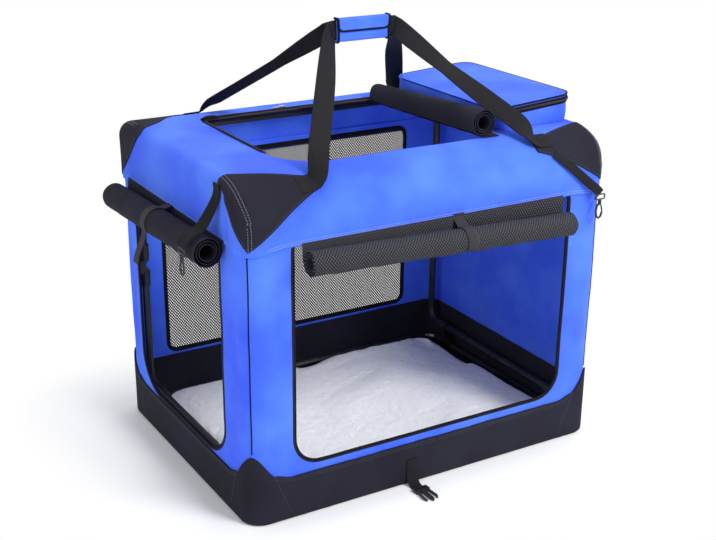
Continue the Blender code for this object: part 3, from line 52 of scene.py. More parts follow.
CORNER = 0.042
SHOULDER_RUN = 0.110
SHOULDER_RISE = 0.088
SHOULDER_Z = HEIGHT - SHOULDER_RISE
WALL_INSET = 0.0036
WALL_FOOT = 0.0034
WALL_TOP = 0.568
END_ROUND = 0.022
CORNER_DIP = 0.010
HEM_Z = 0.542
WINDOW = (-0.303, 0.112, 0.305, 0.545, 0.050, 0.012)
DOOR = (-0.192, 0.098, 0.210, 0.545, 0.078, 0.012)
MESH = (-0.312, 0.115, 0.302, 0.552, 0.020, 0.020)
HATCH = (-0.265, -0.207, 0.187, 0.182, 0.028, 0.028)
POCKET = (0.200, -0.187, 0.392, 0.183, 0.030, 0.030)
POCKET_RIMS = (0.700, 0.713)
FOLD_KEEP = 0.305
WORLD_LIGHT = 0.58


# Materials

def tint(code, lift=1.0):
    """A colour from its six hexadecimal digits, as the shader wants it."""
    parts = [int(code[i:i + 2], 16) / 255 for i in (0, 2, 4)]
    straight = [p / 12.92 if p <= 0.04045 else ((p + 0.055) / 1.055) ** 2.4 for p in parts]
    return tuple(min(1.0, p * lift) for p in straight) + (1.0,)


class Value:
    """A socket of a material; sums on it become Math nodes."""

    def __init__(self, paint, socket):
        self.paint = paint
        self.socket = socket

    def __add__(self, other):
        return self.paint.sum("ADD", self, other)

    def __sub__(self, other):
        return self.paint.sum("SUBTRACT", self, other)

    def __rsub__(self, other):
        return self.paint.sum("SUBTRACT", other, self)

    def __mul__(self, other):
        return self.paint.sum("MULTIPLY", self, other)

    def __truediv__(self, other):
        return self.paint.sum("DIVIDE", self, other)

    def __mod__(self, other):
        return self.paint.sum("FLOORED_MODULO", self, other)

    def __gt__(self, other):
        return self.paint.sum("GREATER_THAN", self, other)

    def __lt__(self, other):
        return self.paint.sum("LESS_THAN", self, other)

    def __abs__(self):
        return self.paint.sum("ABSOLUTE", self)

    __radd__ = __add__
    __rmul__ = __mul__


class Paint:
    """A procedural material and the one method that adds its nodes."""

    def __init__(self, name, roughness=0.8, specular=0.5, **uniform):
        self.material = bpy.data.materials.new(name)
        self.material.use_nodes = True
        self.tree = self.material.node_tree
        self.shader = self.tree.nodes["Principled BSDF"]
        self.shader.inputs["Roughness"].default_value = roughness
        self.shader.inputs["Specular IOR Level"].default_value = specular
        for key, value in uniform.items():
            self.shader.inputs[key.replace("_", " ").title()].default_value = value

    def node(self, kind, settings, values, output=0):
        made = self.tree.nodes.new("ShaderNode" + kind)
        for key, value in settings.items():
            if key == "stops":
                ramp = made.color_ramp
                while len(ramp.elements) < len(value):
                    ramp.elements.new(1.0)
                for element, (place, colour) in zip(ramp.elements, value):
                    element.position = place
                    element.color = colour
            else:
                setattr(made, key, value)
        for key, value in values.items():
            self.put(made.inputs[key], value)
        return Value(self, made.outputs[output])

    def put(self, socket, value):
        if isinstance(value, Value):
            self.tree.links.new(value.socket, socket)
        else:
            socket.default_value = value

    def sum(self, operation, *values):
        return self.node("Math", {"operation": operation}, dict(enumerate(values)))

    def place(self, output="Object"):
        return self.node("TexCoord", {}, {}, output)

    def parts(self, vector):
        split = self.node("SeparateXYZ", {}, {0: vector})
        made = split.socket.node
        return [Value(self, made.outputs[i]) for i in range(3)]

    def noise(self, vector, scale, detail=2.0, rough=0.5):
        return self.node("TexNoise", {}, {"Vector": vector, "Scale": scale, "Detail": detail,
                                          "Roughness": rough}, "Fac")

    def mix(self, factor, first, second):
        return self.node("Mix", {"data_type": "RGBA"}, {0: factor, 6: first, 7: second}, 2)

    def ramp(self, value, low, high):
        """A value stretched so that low becomes 0 and high becomes 1."""
        return self.node("MapRange", {"clamp": True}, {0: value, 1: low, 2: high})

    def bump(self, height, depth, strength=1.0):
        normal = self.node("Bump", {}, {"Height": height, "Distance": depth, "Strength": strength})
        self.set(Normal=normal)

    def set(self, **values):
        for key, value in values.items():
            self.put(self.shader.inputs[key.replace("_", " ")], value)


def weave(paint, u, v, pitch):
    """Height of a plain weave: yarns that pass over and under each other."""
    a = u / pitch
    b = v / pitch
    over = paint.sum("FLOOR", paint.sum("FLOOR", a) + paint.sum("FLOOR", b)) % 2.0
    warp = abs(paint.sum("SINE", a * math.pi))
    weft = abs(paint.sum("SINE", b * math.pi))
    return over * warp + (1.0 - over) * weft


def cloth(name, base, light, painted_gap_shade, pitch=0.0011, roughness=0.82, sheen=0.0, specular=0.12, depth=0.0004):
    """Coated polyester: a fine weave drawn with painted shade in the gaps between the yarns and painted highlight
    on their crowns, soft patches of tone and rubbed high places.
    """
    paint = Paint(name, roughness, specular, sheen_weight=sheen, sheen_roughness=0.5)
    place = paint.place()
    u, v, _ = paint.parts(paint.place("UV"))
    threads = weave(paint, u, v, pitch)
    patches = paint.ramp(paint.noise(place, 7.0, 3.0), 0.35, 0.68)
    slub = paint.noise(place, 420.0, 1.0)
    tone = paint.mix(patches, base, light)
    # painted highlight on the yarns' crowns, then painted shade in the gaps between them
    tone = paint.mix(threads * 0.22, tone, light)
    tone = paint.mix((1.0 - threads) * 0.30, tone, painted_gap_shade)
    tone = paint.mix(paint.ramp(slub, 0.60, 0.80) * 0.35, tone, light)
    crumple = paint.noise(place, 38.0, 4.0, 0.62)
    paint.set(Base_Color=tone, Roughness=paint.ramp(patches, -2.0, 5.0) + roughness - 0.30)
    paint.bump(threads * 0.35 + crumple * 1.6 + slub * 0.15, depth)
    return paint.material


def ribbed_webbing(name, base, light):
    """Woven webbing: ribs across it, two rows of thicker yarn along its edges."""
    paint = Paint(name, 0.7, 0.14)
    u, v, _ = paint.parts(paint.place("UV"))
    herring = abs((v / 0.0042) % 1.0 - 0.5) * 2.0
    rib = abs(paint.sum("SINE", (u / 0.0017 + herring * 0.5) * math.pi))
    cords = abs(paint.sum("SINE", v / 0.0021 * math.pi))
    dust = paint.ramp(paint.noise(paint.place(), 26.0, 4.0), 0.45, 0.75)
    tone = paint.mix(rib * cords, base, light)
    paint.set(Base_Color=paint.mix(dust * 0.25, tone, light), Roughness=0.62 + rib * 0.15)
    paint.bump(rib * 0.7 + cords * 0.6, 0.00045)
    return paint.material


def knit_mesh(name, behind=None):
    """Warp-knit mesh: diamond holes between black threads, open or with more layers behind them."""
    paint = Paint(name, 0.7, 0.14)
    u, v, _ = paint.parts(paint.place("UV"))
    cell = 0.0060
    first = abs((u + v * 0.8) / cell % 1.0 - 0.5)
    second = abs((u - v * 0.8) / cell % 1.0 - 0.5)
    nearest = paint.sum("MINIMUM", first, second)
    thread = 1.0 - paint.ramp(nearest, 0.238, 0.270)
    fuzz = paint.noise(paint.place(), 900.0, 1.0)
    tone = paint.mix(fuzz, tint("121216"), tint("26262c"))
    if behind:
        paint.set(Base_Color=paint.mix(thread, behind, tone))
    else:
        paint.set(Base_Color=tone, Alpha=thread)
    paint.bump(1.0 - nearest * 2.0, 0.0004)
    return paint.material


def moulded(name, base, light, roughness=0.42, grain=700.0, metallic=0.0, depth=0.0001):
    """Moulded or coated hard surfaces: fine grain, a little dust and rubbed shine."""
    paint = Paint(name, roughness, metallic=metallic)
    place = paint.place()
    rub = paint.ramp(paint.noise(place, 30.0, 4.0), 0.40, 0.72)
    fine = paint.noise(place, grain, 2.0)
    paint.set(Base_Color=paint.mix(rub * 0.6, base, light), Roughness=roughness - 0.08 + rub * 0.16)
    paint.bump(fine, depth)
    return paint.material


def pile(name):
    """White fleece: tufts in soft clumps, with painted shade that greys the hollows a little."""
    paint = Paint(name, 0.95, 0.2, sheen_weight=0.3, sheen_roughness=0.6)
    place = paint.place()
    tufts = paint.noise(place, 260.0, 5.0, 0.7)
    clumps = paint.noise(place, 60.0, 3.0, 0.6)
    tone = paint.mix(paint.ramp(tufts, 0.34, 0.60), tint("f1f0ee"), tint("ffffff"))
    # painted shade: a little greyer where the clumps' bump sinks into hollows
    tone = paint.mix(paint.ramp(clumps, 0.60, 0.30) * 0.20, tone, tint("e9e7e3"))
    paint.set(Base_Color=tone)
    paint.bump(tufts + clumps * 1.5, 0.0032)
    return paint.material


def sewing_thread(name, base, light):
    paint = Paint(name, 0.55, sheen_weight=0.3)
    place = paint.place()
    twist = paint.noise(place, 1800.0, 1.0)
    paint.set(Base_Color=paint.mix(twist, base, light))
    paint.bump(twist, 0.0002)
    return paint.material


# each cloth's third colour is painted shade for the gaps between its yarns
BLUE = cloth("blue_cloth", tint("3459f7"), tint("5583ff"), tint("1f3cd2"), sheen=0.06, specular=0.25)
BLACK = cloth("black_cloth", tint("1d1c27"), tint("2c2b38"), tint("0e0e14"))
TAPE = cloth("zip_tape", tint("0d0d10"), tint("19191d"), tint("060608"), pitch=0.0008)
BINDING = cloth("binding_tape", tint("0e0e12"), tint("1b1b21"), tint("060608"), pitch=0.0009)
WEBBING = ribbed_webbing("woven_webbing", tint("100f13"), tint("262428"))
TIE_WEBBING = ribbed_webbing("tie_webbing", tint("262529"), tint("434147"))
NET = knit_mesh("window_net")
ROLLED_NET = knit_mesh("rolled_net", tint("55555c"))
ROLL_END = cloth("roll_end_tape", tint("15182c"), tint("222746"), tint("0b0c18"), pitch=0.0009)
STEEL = moulded("coated_tube", tint("17171a"), tint("2e2e33"), 0.38, 500.0, 0.0)
PLASTIC = moulded("black_plastic", tint("121214"), tint("2a2a2d"), 0.45)
ZINC = moulded("zinc_slider", tint("cfd0d2"), tint("f2f2f2"), 0.28, 300.0, 0.9)
COIL = moulded("zip_coil", tint("2c2220"), tint("51413b"), 0.5)
FLEECE = pile("fleece_pile")
PALE_THREAD = sewing_thread("pale_thread", tint("7d8096"), tint("a9acc0"))
BLUE_THREAD = sewing_thread("blue_thread", tint("86a6ff"), tint("bccdff"))
DARK_THREAD = sewing_thread("dark_thread", tint("24232c"), tint("43424e"))


# Making meshes

def ease(low, high, value):
    """0 at low, 1 at high, with a soft start and end; high may be the smaller."""
    share = min(1.0, max(0.0, (value - low) / (high - low)))
    return share * share * (3 - 2 * share)


def ripple(point, per_metre, seed=0.0):
    """Smooth noise from -1 to 1 at a place."""
    return noise.noise(point * per_metre + Vector((seed, -seed, 2 * seed)))


def crease(point, first, last, width, depth):
    """A soft ridge or, with a negative depth, a valley along a line."""
    run = last - first
    share = (point - first).dot(run) / run.length_squared
    off = (point - (first + run * min(1.0, max(0.0, share)))).length
    ends = ease(-0.15, 0.2, share) * (1 - ease(0.8, 1.15, share))
    return depth * ends * math.exp(-(off / width) ** 2)


class Track:
    """A line through points, read by a share of its length."""

    def __init__(self, points, closed=False):
        self.points = [Vector(p) for p in points]
        self.closed = closed
        if closed:
            self.points.append(self.points[0].copy())
        self.runs = [0.0]
        for a, b in zip(self.points, self.points[1:]):
            self.runs.append(self.runs[-1] + (b - a).length)
        self.length = self.runs[-1]

    def at(self, share):
        share = share % 1.0 if self.closed else min(1.0, max(0.0, share))
        goal = share * self.length
        i = min(max(bisect.bisect_right(self.runs, goal) - 1, 0), len(self.points) - 2)
        run = self.runs[i + 1] - self.runs[i]
        return self.points[i].lerp(self.points[i + 1], (goal - self.runs[i]) / run if run else 0.0)

    def heading(self, share, step=0.003):
        reach = step / self.length
        return (self.at(share + reach) - self.at(share - reach)).normalized()


def smooth_track(points, steps=8, closed=False):
    """A track on a smooth curve through the points."""
    points = [Vector(p) for p in points]
    count = len(points)
    made = []
    for i in range(count if closed else count - 1):
        a, b, c, d = (points[k % count] if closed else points[min(max(k, 0), count - 1)]
                      for k in (i - 1, i, i + 1, i + 2))
        for k in range(steps):
            t = k / steps
            made.append(0.5 * (2 * b + (c - a) * t + (2 * a - 5 * b + 4 * c - d) * t * t
                               + (3 * b - a - 3 * c + d) * t ** 3))
    if not closed:
        made.append(points[-1])
    return Track(made, closed)


def rounded(box, grow=0.0, steps=8, front_left=None):
    """Corner points of a box with round corners: one radius at its foot, one at its top."""
    u0, v0, u1, v1 = box[0] - grow, box[1] - grow, box[2] + grow, box[3] + grow
    points = []
    for cu, cv, r, start in ((u1, v0, box[4] + grow, -90), (u1, v1, box[5] + grow, 0),
                             (u0, v1, box[5] + grow, 90), (u0, v0, front_left or box[4] + grow, 180)):
        r = max(r, 0.0005)
        mu = cu - math.copysign(r, cu - (u0 + u1) / 2)
        mv = cv - math.copysign(r, cv - (v0 + v1) / 2)
        for i in range(steps + 1):
            turn = math.radians(start + 90 * i / steps)
            points.append((mu + r * math.cos(turn), mv + r * math.sin(turn), 0.0))
    return points


def grid(columns, rows, place, size=(1.0, 1.0), merge=False):
    """A grid put in place point by point, with its UV map in metres."""
    shape = bmesh.new()
    bmesh.ops.create_grid(shape, x_segments=columns, y_segments=rows, size=1.0)
    spots = {vert: ((vert.co.x + 1) / 2, (vert.co.y + 1) / 2) for vert in shape.verts}
    lay = shape.loops.layers.uv.new("metres")
    for face in shape.faces:
        for loop in face.loops:
            u, v = spots[loop.vert]
            loop[lay].uv = (u * size[0], v * size[1])
    for vert, (u, v) in spots.items():
        vert.co = place(u, v)
    if merge:
        bmesh.ops.remove_doubles(shape, verts=shape.verts, dist=0.00002)
    return shape


def sliced_box(low, high, cell, open_faces=""):
    """A box of small cells; open_faces names those left out, such as '-z'."""
    shape = bmesh.new()
    bmesh.ops.create_cube(shape, size=1.0)
    size = Vector(high) - Vector(low)
    middle = (Vector(high) + Vector(low)) / 2
    bmesh.ops.scale(shape, vec=size, verts=shape.verts)
    bmesh.ops.translate(shape, vec=middle, verts=shape.verts)
    for name in open_faces.split():
        axis = "xyz".index(name[1])
        sign = -1 if name[0] == "-" else 1
        gone = [f for f in shape.faces if f.normal[axis] * sign > 0.9]
        bmesh.ops.delete(shape, geom=gone, context="FACES_ONLY")
    for axis in range(3):
        along = [e for e in shape.edges
                 if abs((e.verts[1].co - e.verts[0].co).normalized()[axis]) > 0.99]
        cuts = max(1, round(size[axis] / cell)) - 1
        bmesh.ops.subdivide_edges(shape, edges=along, cuts=cuts, use_grid_fill=True)
    lay = shape.loops.layers.uv.new("metres")
    for face in shape.faces:
        n = [abs(x) for x in face.normal]
        axis = n.index(max(n))
        for loop in face.loops:
            p = loop.vert.co
            loop[lay].uv = ((p.y, p.z), (p.x, p.z), (p.x, p.y))[axis]
    return shape


def trim(shape, axis, limit, keep_high=True):
    """Cut a surface where a coordinate crosses a limit that depends on the place."""
    for vert in shape.verts:
        vert.co[axis] -= limit(vert.co)
    way = Vector((0, 0, 0))
    way[axis] = 1.0
    geom = shape.verts[:] + shape.edges[:] + shape.faces[:]
    bmesh.ops.bisect_plane(shape, geom=geom, dist=0.00001, plane_co=(0, 0, 0), plane_no=way,
                           clear_inner=keep_high, clear_outer=not keep_high)
    for vert in shape.verts:
        vert.co[axis] += limit(vert.co)


def turn_out(shape, centre=(0.0, 0.0, 0.3)):
    """Turn an open surface so that it faces away from a point."""
    shape.normal_update()
    middle = Vector(centre)
    facing = sum(f.normal.dot(f.calc_center_median() - middle) * f.calc_area() for f in shape.faces)
    if facing < 0:
        bmesh.ops.reverse_faces(shape, faces=shape.faces)
    shape.normal_update()


def close_up(shape):
    """Normals of a closed shape, outward."""
    bmesh.ops.recalc_face_normals(shape, faces=shape.faces)
    if shape.calc_volume(signed=True) < 0:
        bmesh.ops.reverse_faces(shape, faces=shape.faces)


def lift(shape, amount):
    """Move a surface along its own normals; amount may depend on the place."""
    shape.normal_update()
    moves = [(v, v.normal.copy() * (amount(v.co) if callable(amount) else amount)) for v in shape.verts]
    for vert, move in moves:
        vert.co += move


def as_object(name, shape):
    mesh = bpy.data.meshes.new(name)
    shape.to_mesh(mesh)
    shape.free()
    obj = bpy.data.objects.new(name, mesh)
    bpy.context.scene.collection.objects.link(obj)
    return obj


def settle(obj):
    """Apply a piece's modifiers."""
    bpy.context.view_layer.update()
    graph = bpy.context.evaluated_depsgraph_get()
    mesh = bpy.data.meshes.new_from_object(obj.evaluated_get(graph))
    obj.modifiers.clear()
    obj.data = mesh


def thicken(obj, depth, offset=-1.0):
    wall = obj.modifiers.new("cloth", "SOLIDIFY")
    wall.thickness = depth
    wall.offset = offset


def cut_hole(obj, outline, low, high, axis):
    """Cut an opening: the outline, pushed through from low to high along an axis."""
    flat = bpy.data.curves.new("opening", "CURVE")
    flat.dimensions = "2D"
    flat.fill_mode = "BOTH"
    flat.extrude = (high - low) / 2
    line = flat.splines.new("POLY")
    line.points.add(len(outline) - 1)
    for point, place in zip(line.points, outline):
        point.co = (*place, 1.0)
    line.use_cyclic_u = True
    cutter = bpy.data.objects.new("opening", flat)
    bpy.context.scene.collection.objects.link(cutter)
    graph = bpy.context.evaluated_depsgraph_get()
    mesh = bpy.data.meshes.new_from_object(cutter.evaluated_get(graph))
    bpy.data.objects.remove(cutter, do_unlink=True)
    shape = bmesh.new()
    shape.from_mesh(mesh)
    bmesh.ops.remove_doubles(shape, verts=shape.verts, dist=0.00001)
    turns = {"Z": Matrix.Identity(4),
             "Y": Matrix(((1, 0, 0, 0), (0, 0, 1, 0), (0, 1, 0, 0), (0, 0, 0, 1))),
             "X": Matrix(((0, 0, 1, 0), (1, 0, 0, 0), (0, 1, 0, 0), (0, 0, 0, 1)))}
    shape.transform(turns[axis] @ Matrix.Translation((0, 0, (low + high) / 2)))
    close_up(shape)
    tool = as_object("opening", shape)
    step = obj.modifiers.new("opening", "BOOLEAN")
    step.operation = "DIFFERENCE"
    step.solver = "EXACT"
    step.object = tool
    settle(obj)
    bpy.data.objects.remove(tool, do_unlink=True)


def dress(obj, body, slot, *materials, replaces=(), smooth=40.0, squash=None):
    """Give a finished mesh its material and body, and hide the nodes it stands for. The slot is not used."""
    if obj.modifiers:
        settle(obj)
    obj.data.materials.clear()
    for material in materials:
        obj.data.materials.append(material)
    obj.data.shade_smooth()
    obj.data.set_sharp_from_angle(angle=math.radians(smooth))
    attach(obj, body)
    if replaces:
        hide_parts(*replaces)
    if squash:
        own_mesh(obj)
    return obj


WALL_FOLD = ("left_lower_fold", WALL_FOOT, FOLD_KEEP)


def boundary_loops(shape):
    """Each open edge of a surface as a list of (place, outward normal, way in from the edge)."""
    left = {e for e in shape.edges if e.is_boundary}
    loops = []
    while left:
        edge = min(left, key=lambda e: e.index)
        left.discard(edge)
        chain = [edge]
        vert = edge.verts[1]
        while True:
            following = [e for e in vert.link_edges if e in left]
            if not following:
                break
            edge = following[0]
            left.discard(edge)
            chain.append(edge)
            vert = edge.other_vert(vert)
        line = []
        for item in chain:
            face = item.link_faces[0]
            way = (item.verts[1].co - item.verts[0].co).normalized()
            inward = face.normal.cross(way)
            middle = (item.verts[0].co + item.verts[1].co) / 2
            if inward.dot(face.calc_center_median() - middle) < 0:
                inward.negate()
            line.append((middle, face.normal.copy(), inward))
        loops.append(line)
    return loops


STITCH = bpy.data.meshes.new("stitch")
seed = bmesh.new()
bmesh.ops.create_uvsphere(seed, u_segments=5, v_segments=4, radius=0.5)
seed.to_mesh(STITCH)
seed.free()


def sew(name, lines, body, slot="webbing", thread=None, long=0.0034, wide=0.0010, gap=0.0016, squash=None):
    """Rows of stitches. A line is a list of (place, normal); a stitch is laid every so often along it."""
    whole = bmesh.new()
    holder = bpy.data.meshes.new(name)
    for line in lines:
        track = Track([p for p, _ in line])
        ups = Track([p + n for p, n in line])
        row = bmesh.new()
        count = int(track.length / (long + gap))
        for i in range(count):
            share = (i + 0.5) / count
            here = track.at(share)
            ahead = track.heading(share, 0.002)
            up = ups.at(share) - here
            side = up.cross(ahead)
            if side.length < 1e-6:
                continue
            side.normalize()
            up = ahead.cross(side)
            turn = Matrix((ahead * long, side * wide, up * wide * 0.7)).transposed().to_4x4()
            turn.translation = here
            row.from_mesh(STITCH)
            row.verts.ensure_lookup_table()
            bmesh.ops.transform(row, matrix=turn, verts=row.verts[-len(STITCH.vertices):])
        row.to_mesh(holder)
        row.free()
        whole.from_mesh(holder)
    obj = as_object(name, whole)
    bpy.data.meshes.remove(holder)
    return dress(obj, body, slot, thread or PALE_THREAD, smooth=180, squash=squash)


def rows_from(loops, insets, height=0.0002, test=None, smooth_steps=6):
    """Sewing lines that run beside the open edges of a surface."""
    lines = []
    for loop in loops:
        for inset in insets:
            line = []
            run = []
            for place, normal, inward in loop:
                if test is None or test(place):
                    run.append((place + inward * inset + normal * height, normal))
                elif run:
                    line.append(run)
                    run = []
            if run:
                line.append(run)
            for part in line:
                if len(part) < 4:
                    continue
                for _ in range(smooth_steps):
                    part = [part[0]] + [((a[0] + b[0] * 2 + c[0]) / 4, b[1])
                                        for a, b, c in zip(part, part[1:], part[2:])] + [part[-1]]
                lines.append(part)
    return lines


def ribbon(name, stations, width, thickness, columns=4, steps=8):
    """A webbing through stations of (place, direction of its width)."""
    middle = smooth_track([p for p, _ in stations], steps)
    count = len(stations)
    sides = [Vector(a).normalized() for _, a in stations]
    shares = []
    for p, _ in stations:
        best = min(range(len(middle.points)), key=lambda k: (middle.points[k] - Vector(p)).length)
        shares.append(middle.runs[best] / middle.length)

    def side_at(share):
        i = min(max(bisect.bisect_right(shares, share) - 1, 0), count - 2)
        run = shares[i + 1] - shares[i]
        t = (share - shares[i]) / run if run > 0 else 0.0
        return sides[i].lerp(sides[i + 1], min(1.0, max(0.0, t))).normalized()

    def place(u, v):
        here = middle.at(u)
        across = side_at(u)
        ahead = middle.heading(u)
        across = (across - ahead * across.dot(ahead)).normalized()
        out = ahead.cross(across)
        cup = thickness * 0.35 * (1 - (2 * v - 1) ** 2)
        return here + across * width * (v - 0.5) + out * cup

    segments = max(8, int(middle.length / 0.006))
    shape = grid(segments, columns, place, (middle.length, width))
    obj = as_object(name, shape)
    thicken(obj, thickness, 0.0)
    rim = obj.modifiers.new("edge", "BEVEL")
    rim.width = thickness * 0.3
    rim.segments = 2
    rim.limit_method = "ANGLE"
    rim.angle_limit = math.radians(60)
    return obj


def tube_along(name, track, radius, sides=10, segments=None, flat=1.0, ends=True):
    """A round cord or welt along a track, its ends closed."""
    segments = segments or max(6, int(track.length / 0.006))
    up = Vector((0, 0, 1))

    def place(u, v):
        here = track.at(u)
        ahead = track.heading(u)
        side = ahead.cross(up)
        if side.length < 0.05:
            side = ahead.cross(Vector((1, 0, 0)))
        side.normalize()
        out = side.cross(ahead)
        turn = 2 * math.pi * v
        return here + (side * math.cos(turn) + out * math.sin(turn) * flat) * radius

    shape = grid(segments, sides, place, (track.length, 2 * math.pi * radius), merge=True)
    if not track.closed and ends:
        bmesh.ops.holes_fill(shape, edges=[e for e in shape.edges if e.is_boundary], sides=0)
    close_up(shape)
    return as_object(name, shape)


# The crate's surfaces

def plan_point(run, inset=0.0):
    """Place and outward way on the crate's outline, by metres round it from the front's middle."""
    a = HALF_LENGTH - CORNER
    b = HALF_WIDTH - CORNER
    bend = CORNER * math.pi / 2
    total = 4 * (a + b) + 4 * bend
    run = (run + a) % total
    legs = ((2 * a, (-a, -HALF_WIDTH), (1, 0)), (2 * b, (HALF_LENGTH, -b), (0, 1)),
            (2 * a, (a, HALF_WIDTH), (-1, 0)), (2 * b, (-HALF_LENGTH, b), (0, -1)))
    for i, (length, start, way) in enumerate(legs):
        out = Vector((way[1], -way[0], 0))
        if run <= length:
            here = Vector((start[0] + way[0] * run, start[1] + way[1] * run, 0))
            return here - out * inset, out
        run -= length
        if run <= bend:
            turn = run / CORNER
            corner = Vector((start[0] + way[0] * length, start[1] + way[1] * length, 0)) - out * CORNER
            out = Matrix.Rotation(turn, 3, "Z") @ out
            return corner + out * (CORNER - inset), out
        run -= bend
    return Vector((-a, -HALF_WIDTH + inset, 0)), Vector((0, -1, 0))


PLAN_RUN = 4 * (HALF_LENGTH + HALF_WIDTH - 2 * CORNER) + 2 * math.pi * CORNER
CORNER_RUNS = [HALF_LENGTH - CORNER + CORNER * math.pi / 4]
CORNER_RUNS.append(CORNER_RUNS[0] + 2 * (HALF_WIDTH - CORNER) + CORNER * math.pi / 2)
CORNER_RUNS.append(PLAN_RUN - CORNER_RUNS[1])
CORNER_RUNS.append(PLAN_RUN - CORNER_RUNS[0])

WALL_CREASES = (
    (Vector((-0.405, -0.262, 0.50)), Vector((-0.405, -0.236, 0.16)), 0.012, -0.0030),
    (Vector((-0.405, -0.245, 0.54)), Vector((-0.405, -0.270, 0.34)), 0.010, 0.0022),
    (Vector((-0.345, -0.300, 0.54)), Vector((-0.330, -0.300, 0.20)), 0.011, -0.0024),
    (Vector((-0.320, -0.300, 0.15)), Vector((-0.200, -0.300, 0.100)), 0.010, 0.0026),
    (Vector((0.340, -0.300, 0.50)), Vector((0.350, -0.300, 0.16)), 0.012, -0.0024),
    (Vector((-0.405, 0.262, 0.50)), Vector((-0.405, 0.238, 0.16)), 0.012, -0.0026),
    (Vector((0.405, -0.20, 0.53)), Vector((0.405, 0.02, 0.12)), 0.016, -0.0028),
    (Vector((0.405, 0.18, 0.53)), Vector((0.405, 0.10, 0.14)), 0.014, 0.0026),
)


def wall_swell(point):
    """How far the walls' cloth stands in or out at a place: slack between the tray and the roof."""
    fade = ease(0.075, 0.17, point.z) * (1 - ease(0.49, 0.56, point.z))
    swell = 0.0026 * ripple(point, 5.0, 3.1) + 0.0011 * ripple(point, 15.0, 7.7)
    for line in WALL_CREASES:
        swell += crease(point, *line)
    return swell * fade - 0.0002


def wall_point(side, across, z, out=0.0):
    """A place on a wall's face: front, back, left or right."""
    if side in ("front", "back"):
        sign = -1 if side == "front" else 1
        base = Vector((across, sign * (HALF_WIDTH - WALL_INSET), z))
        way = Vector((0, sign, 0))
    else:
        sign = -1 if side == "left" else 1
        base = Vector((sign * (HALF_LENGTH - WALL_INSET), across, z))
        way = Vector((sign, 0, 0))
    return base + way * (wall_swell(base) + out), way


def make_walls():
    sides = {
        "front_wall": (CORNER_RUNS[3] - PLAN_RUN, CORNER_RUNS[0]),
        "right_end_wall": (CORNER_RUNS[0], CORNER_RUNS[1]),
        "back_wall": (CORNER_RUNS[1], CORNER_RUNS[2]),
        "left_end_wall": (CORNER_RUNS[2], CORNER_RUNS[3]),
    }
    holes = {"front_wall": (WINDOW, 0.003, "Y", -1), "back_wall": (MESH, 0.0, "Y", 1),
             "left_end_wall": (DOOR, 0.003, "X", -1)}
    rise = WALL_TOP - WALL_FOOT
    for name, (start, stop) in sides.items():
        def place(u, v):
            here, out = plan_point(start + (stop - start) * u, WALL_INSET)
            here.z = WALL_FOOT + rise * v
            return here + out * wall_swell(here)
        shape = grid(round((stop - start) / 0.008), round(rise / 0.008), place, (stop - start, rise))
        turn_out(shape)
        wall = as_object(name + "_cloth", shape)
        thicken(wall, 0.0022)
        settle(wall)
        if name in holes:
            box, grow, axis, sign = holes[name]
            ends = sorted((sign * 0.2, sign * 0.5))
            cut_hole(wall, rounded(box, grow), *ends, axis)
        dress(wall, "base", "blue_cloth", BLUE, replaces=[name], squash=WALL_FOLD)


def make_corner_seams():
    """The welt where two walls are sewn together, up each corner."""
    for name, run in zip(("front_right", "back_right", "back_left", "front_left"), CORNER_RUNS):
        points = []
        for i in range(40):
            z = 0.150 + (0.541 - 0.150) * i / 39
            wander = 0.0016 * ripple(Vector((run, 0, z)), 9.0)
            here, out = plan_point(run + wander, WALL_INSET)
            here.z = z
            points.append(here + out * (wall_swell(here) + 0.0002))
        welt = tube_along(f"corner_seam_{name}", Track(points), 0.0013, 6, 60, 1.0)
        dress(welt, "base", "black_cloth", BINDING, squash=WALL_FOLD)


def loop_sweep(name, side, box, section, body, slot, material, replaces=(), grow=0.0, steps=14):
    """A tape round an opening; its section is (across, out) pairs, away from the opening."""
    line = Track(rounded(box, grow, steps), closed=True)
    ring = Track([(a, o, 0) for a, o in section], closed=True)

    def place(u, v):
        here = line.at(u)
        ahead = line.heading(u)
        away = Vector((ahead.y, -ahead.x, 0))
        spot = ring.at(v)
        flat = here + away * spot.x
        return wall_point(side, flat.x, flat.y, spot.y)[0]

    shape = grid(int(line.length / 0.007), len(section) * 2, place, (line.length, ring.length), merge=True)
    close_up(shape)
    return dress(as_object(name, shape), body, slot, material, replaces=replaces, squash=WALL_FOLD)


def fold_section(width, inner, outer):
    """Round-edged section of a tape folded over a raw edge."""
    r = (outer - inner) / 2
    middle = (outer + inner) / 2
    points = []
    for i in range(7):
        turn = math.pi / 2 + math.pi * i / 6
        points.append((r + r * math.cos(turn), middle + r * math.sin(turn)))
    points += [(width - 0.0008, inner), (width, inner + 0.0006), (width, outer - 0.0006),
               (width - 0.0008, outer)]
    return points


def make_bindings():
    section = fold_section(0.008, -0.0036, 0.0008)
    loop_sweep("window_edge_binding", "front", WINDOW, section, "base", "black_cloth", BINDING,
               ["window_binding"])
    loop_sweep("door_edge_binding", "left", DOOR, section, "base", "black_cloth", BINDING, ["door_binding"])
    border = [(-0.0045, -0.0006), (0.0, 0.0), (0.005, 0.0007), (0.005, -0.0036), (0.0, -0.0036),
              (-0.0045, -0.0024)]
    loop_sweep("rear_window_border", "back", MESH, border, "base", "black_cloth", BINDING)
    rows = []
    for side, box, grow in (("front", WINDOW, 0.0062), ("left", DOOR, 0.0062), ("back", MESH, 0.0035)):
        track = Track(rounded(box, grow, 10), closed=True)
        count = int(track.length / 0.01)
        rows.append([wall_point(side, *track.at(i / count).xy, 0.0010) for i in range(count + 1)])
    sew("opening_stitches", rows, "base", thread=DARK_THREAD, squash=WALL_FOLD)


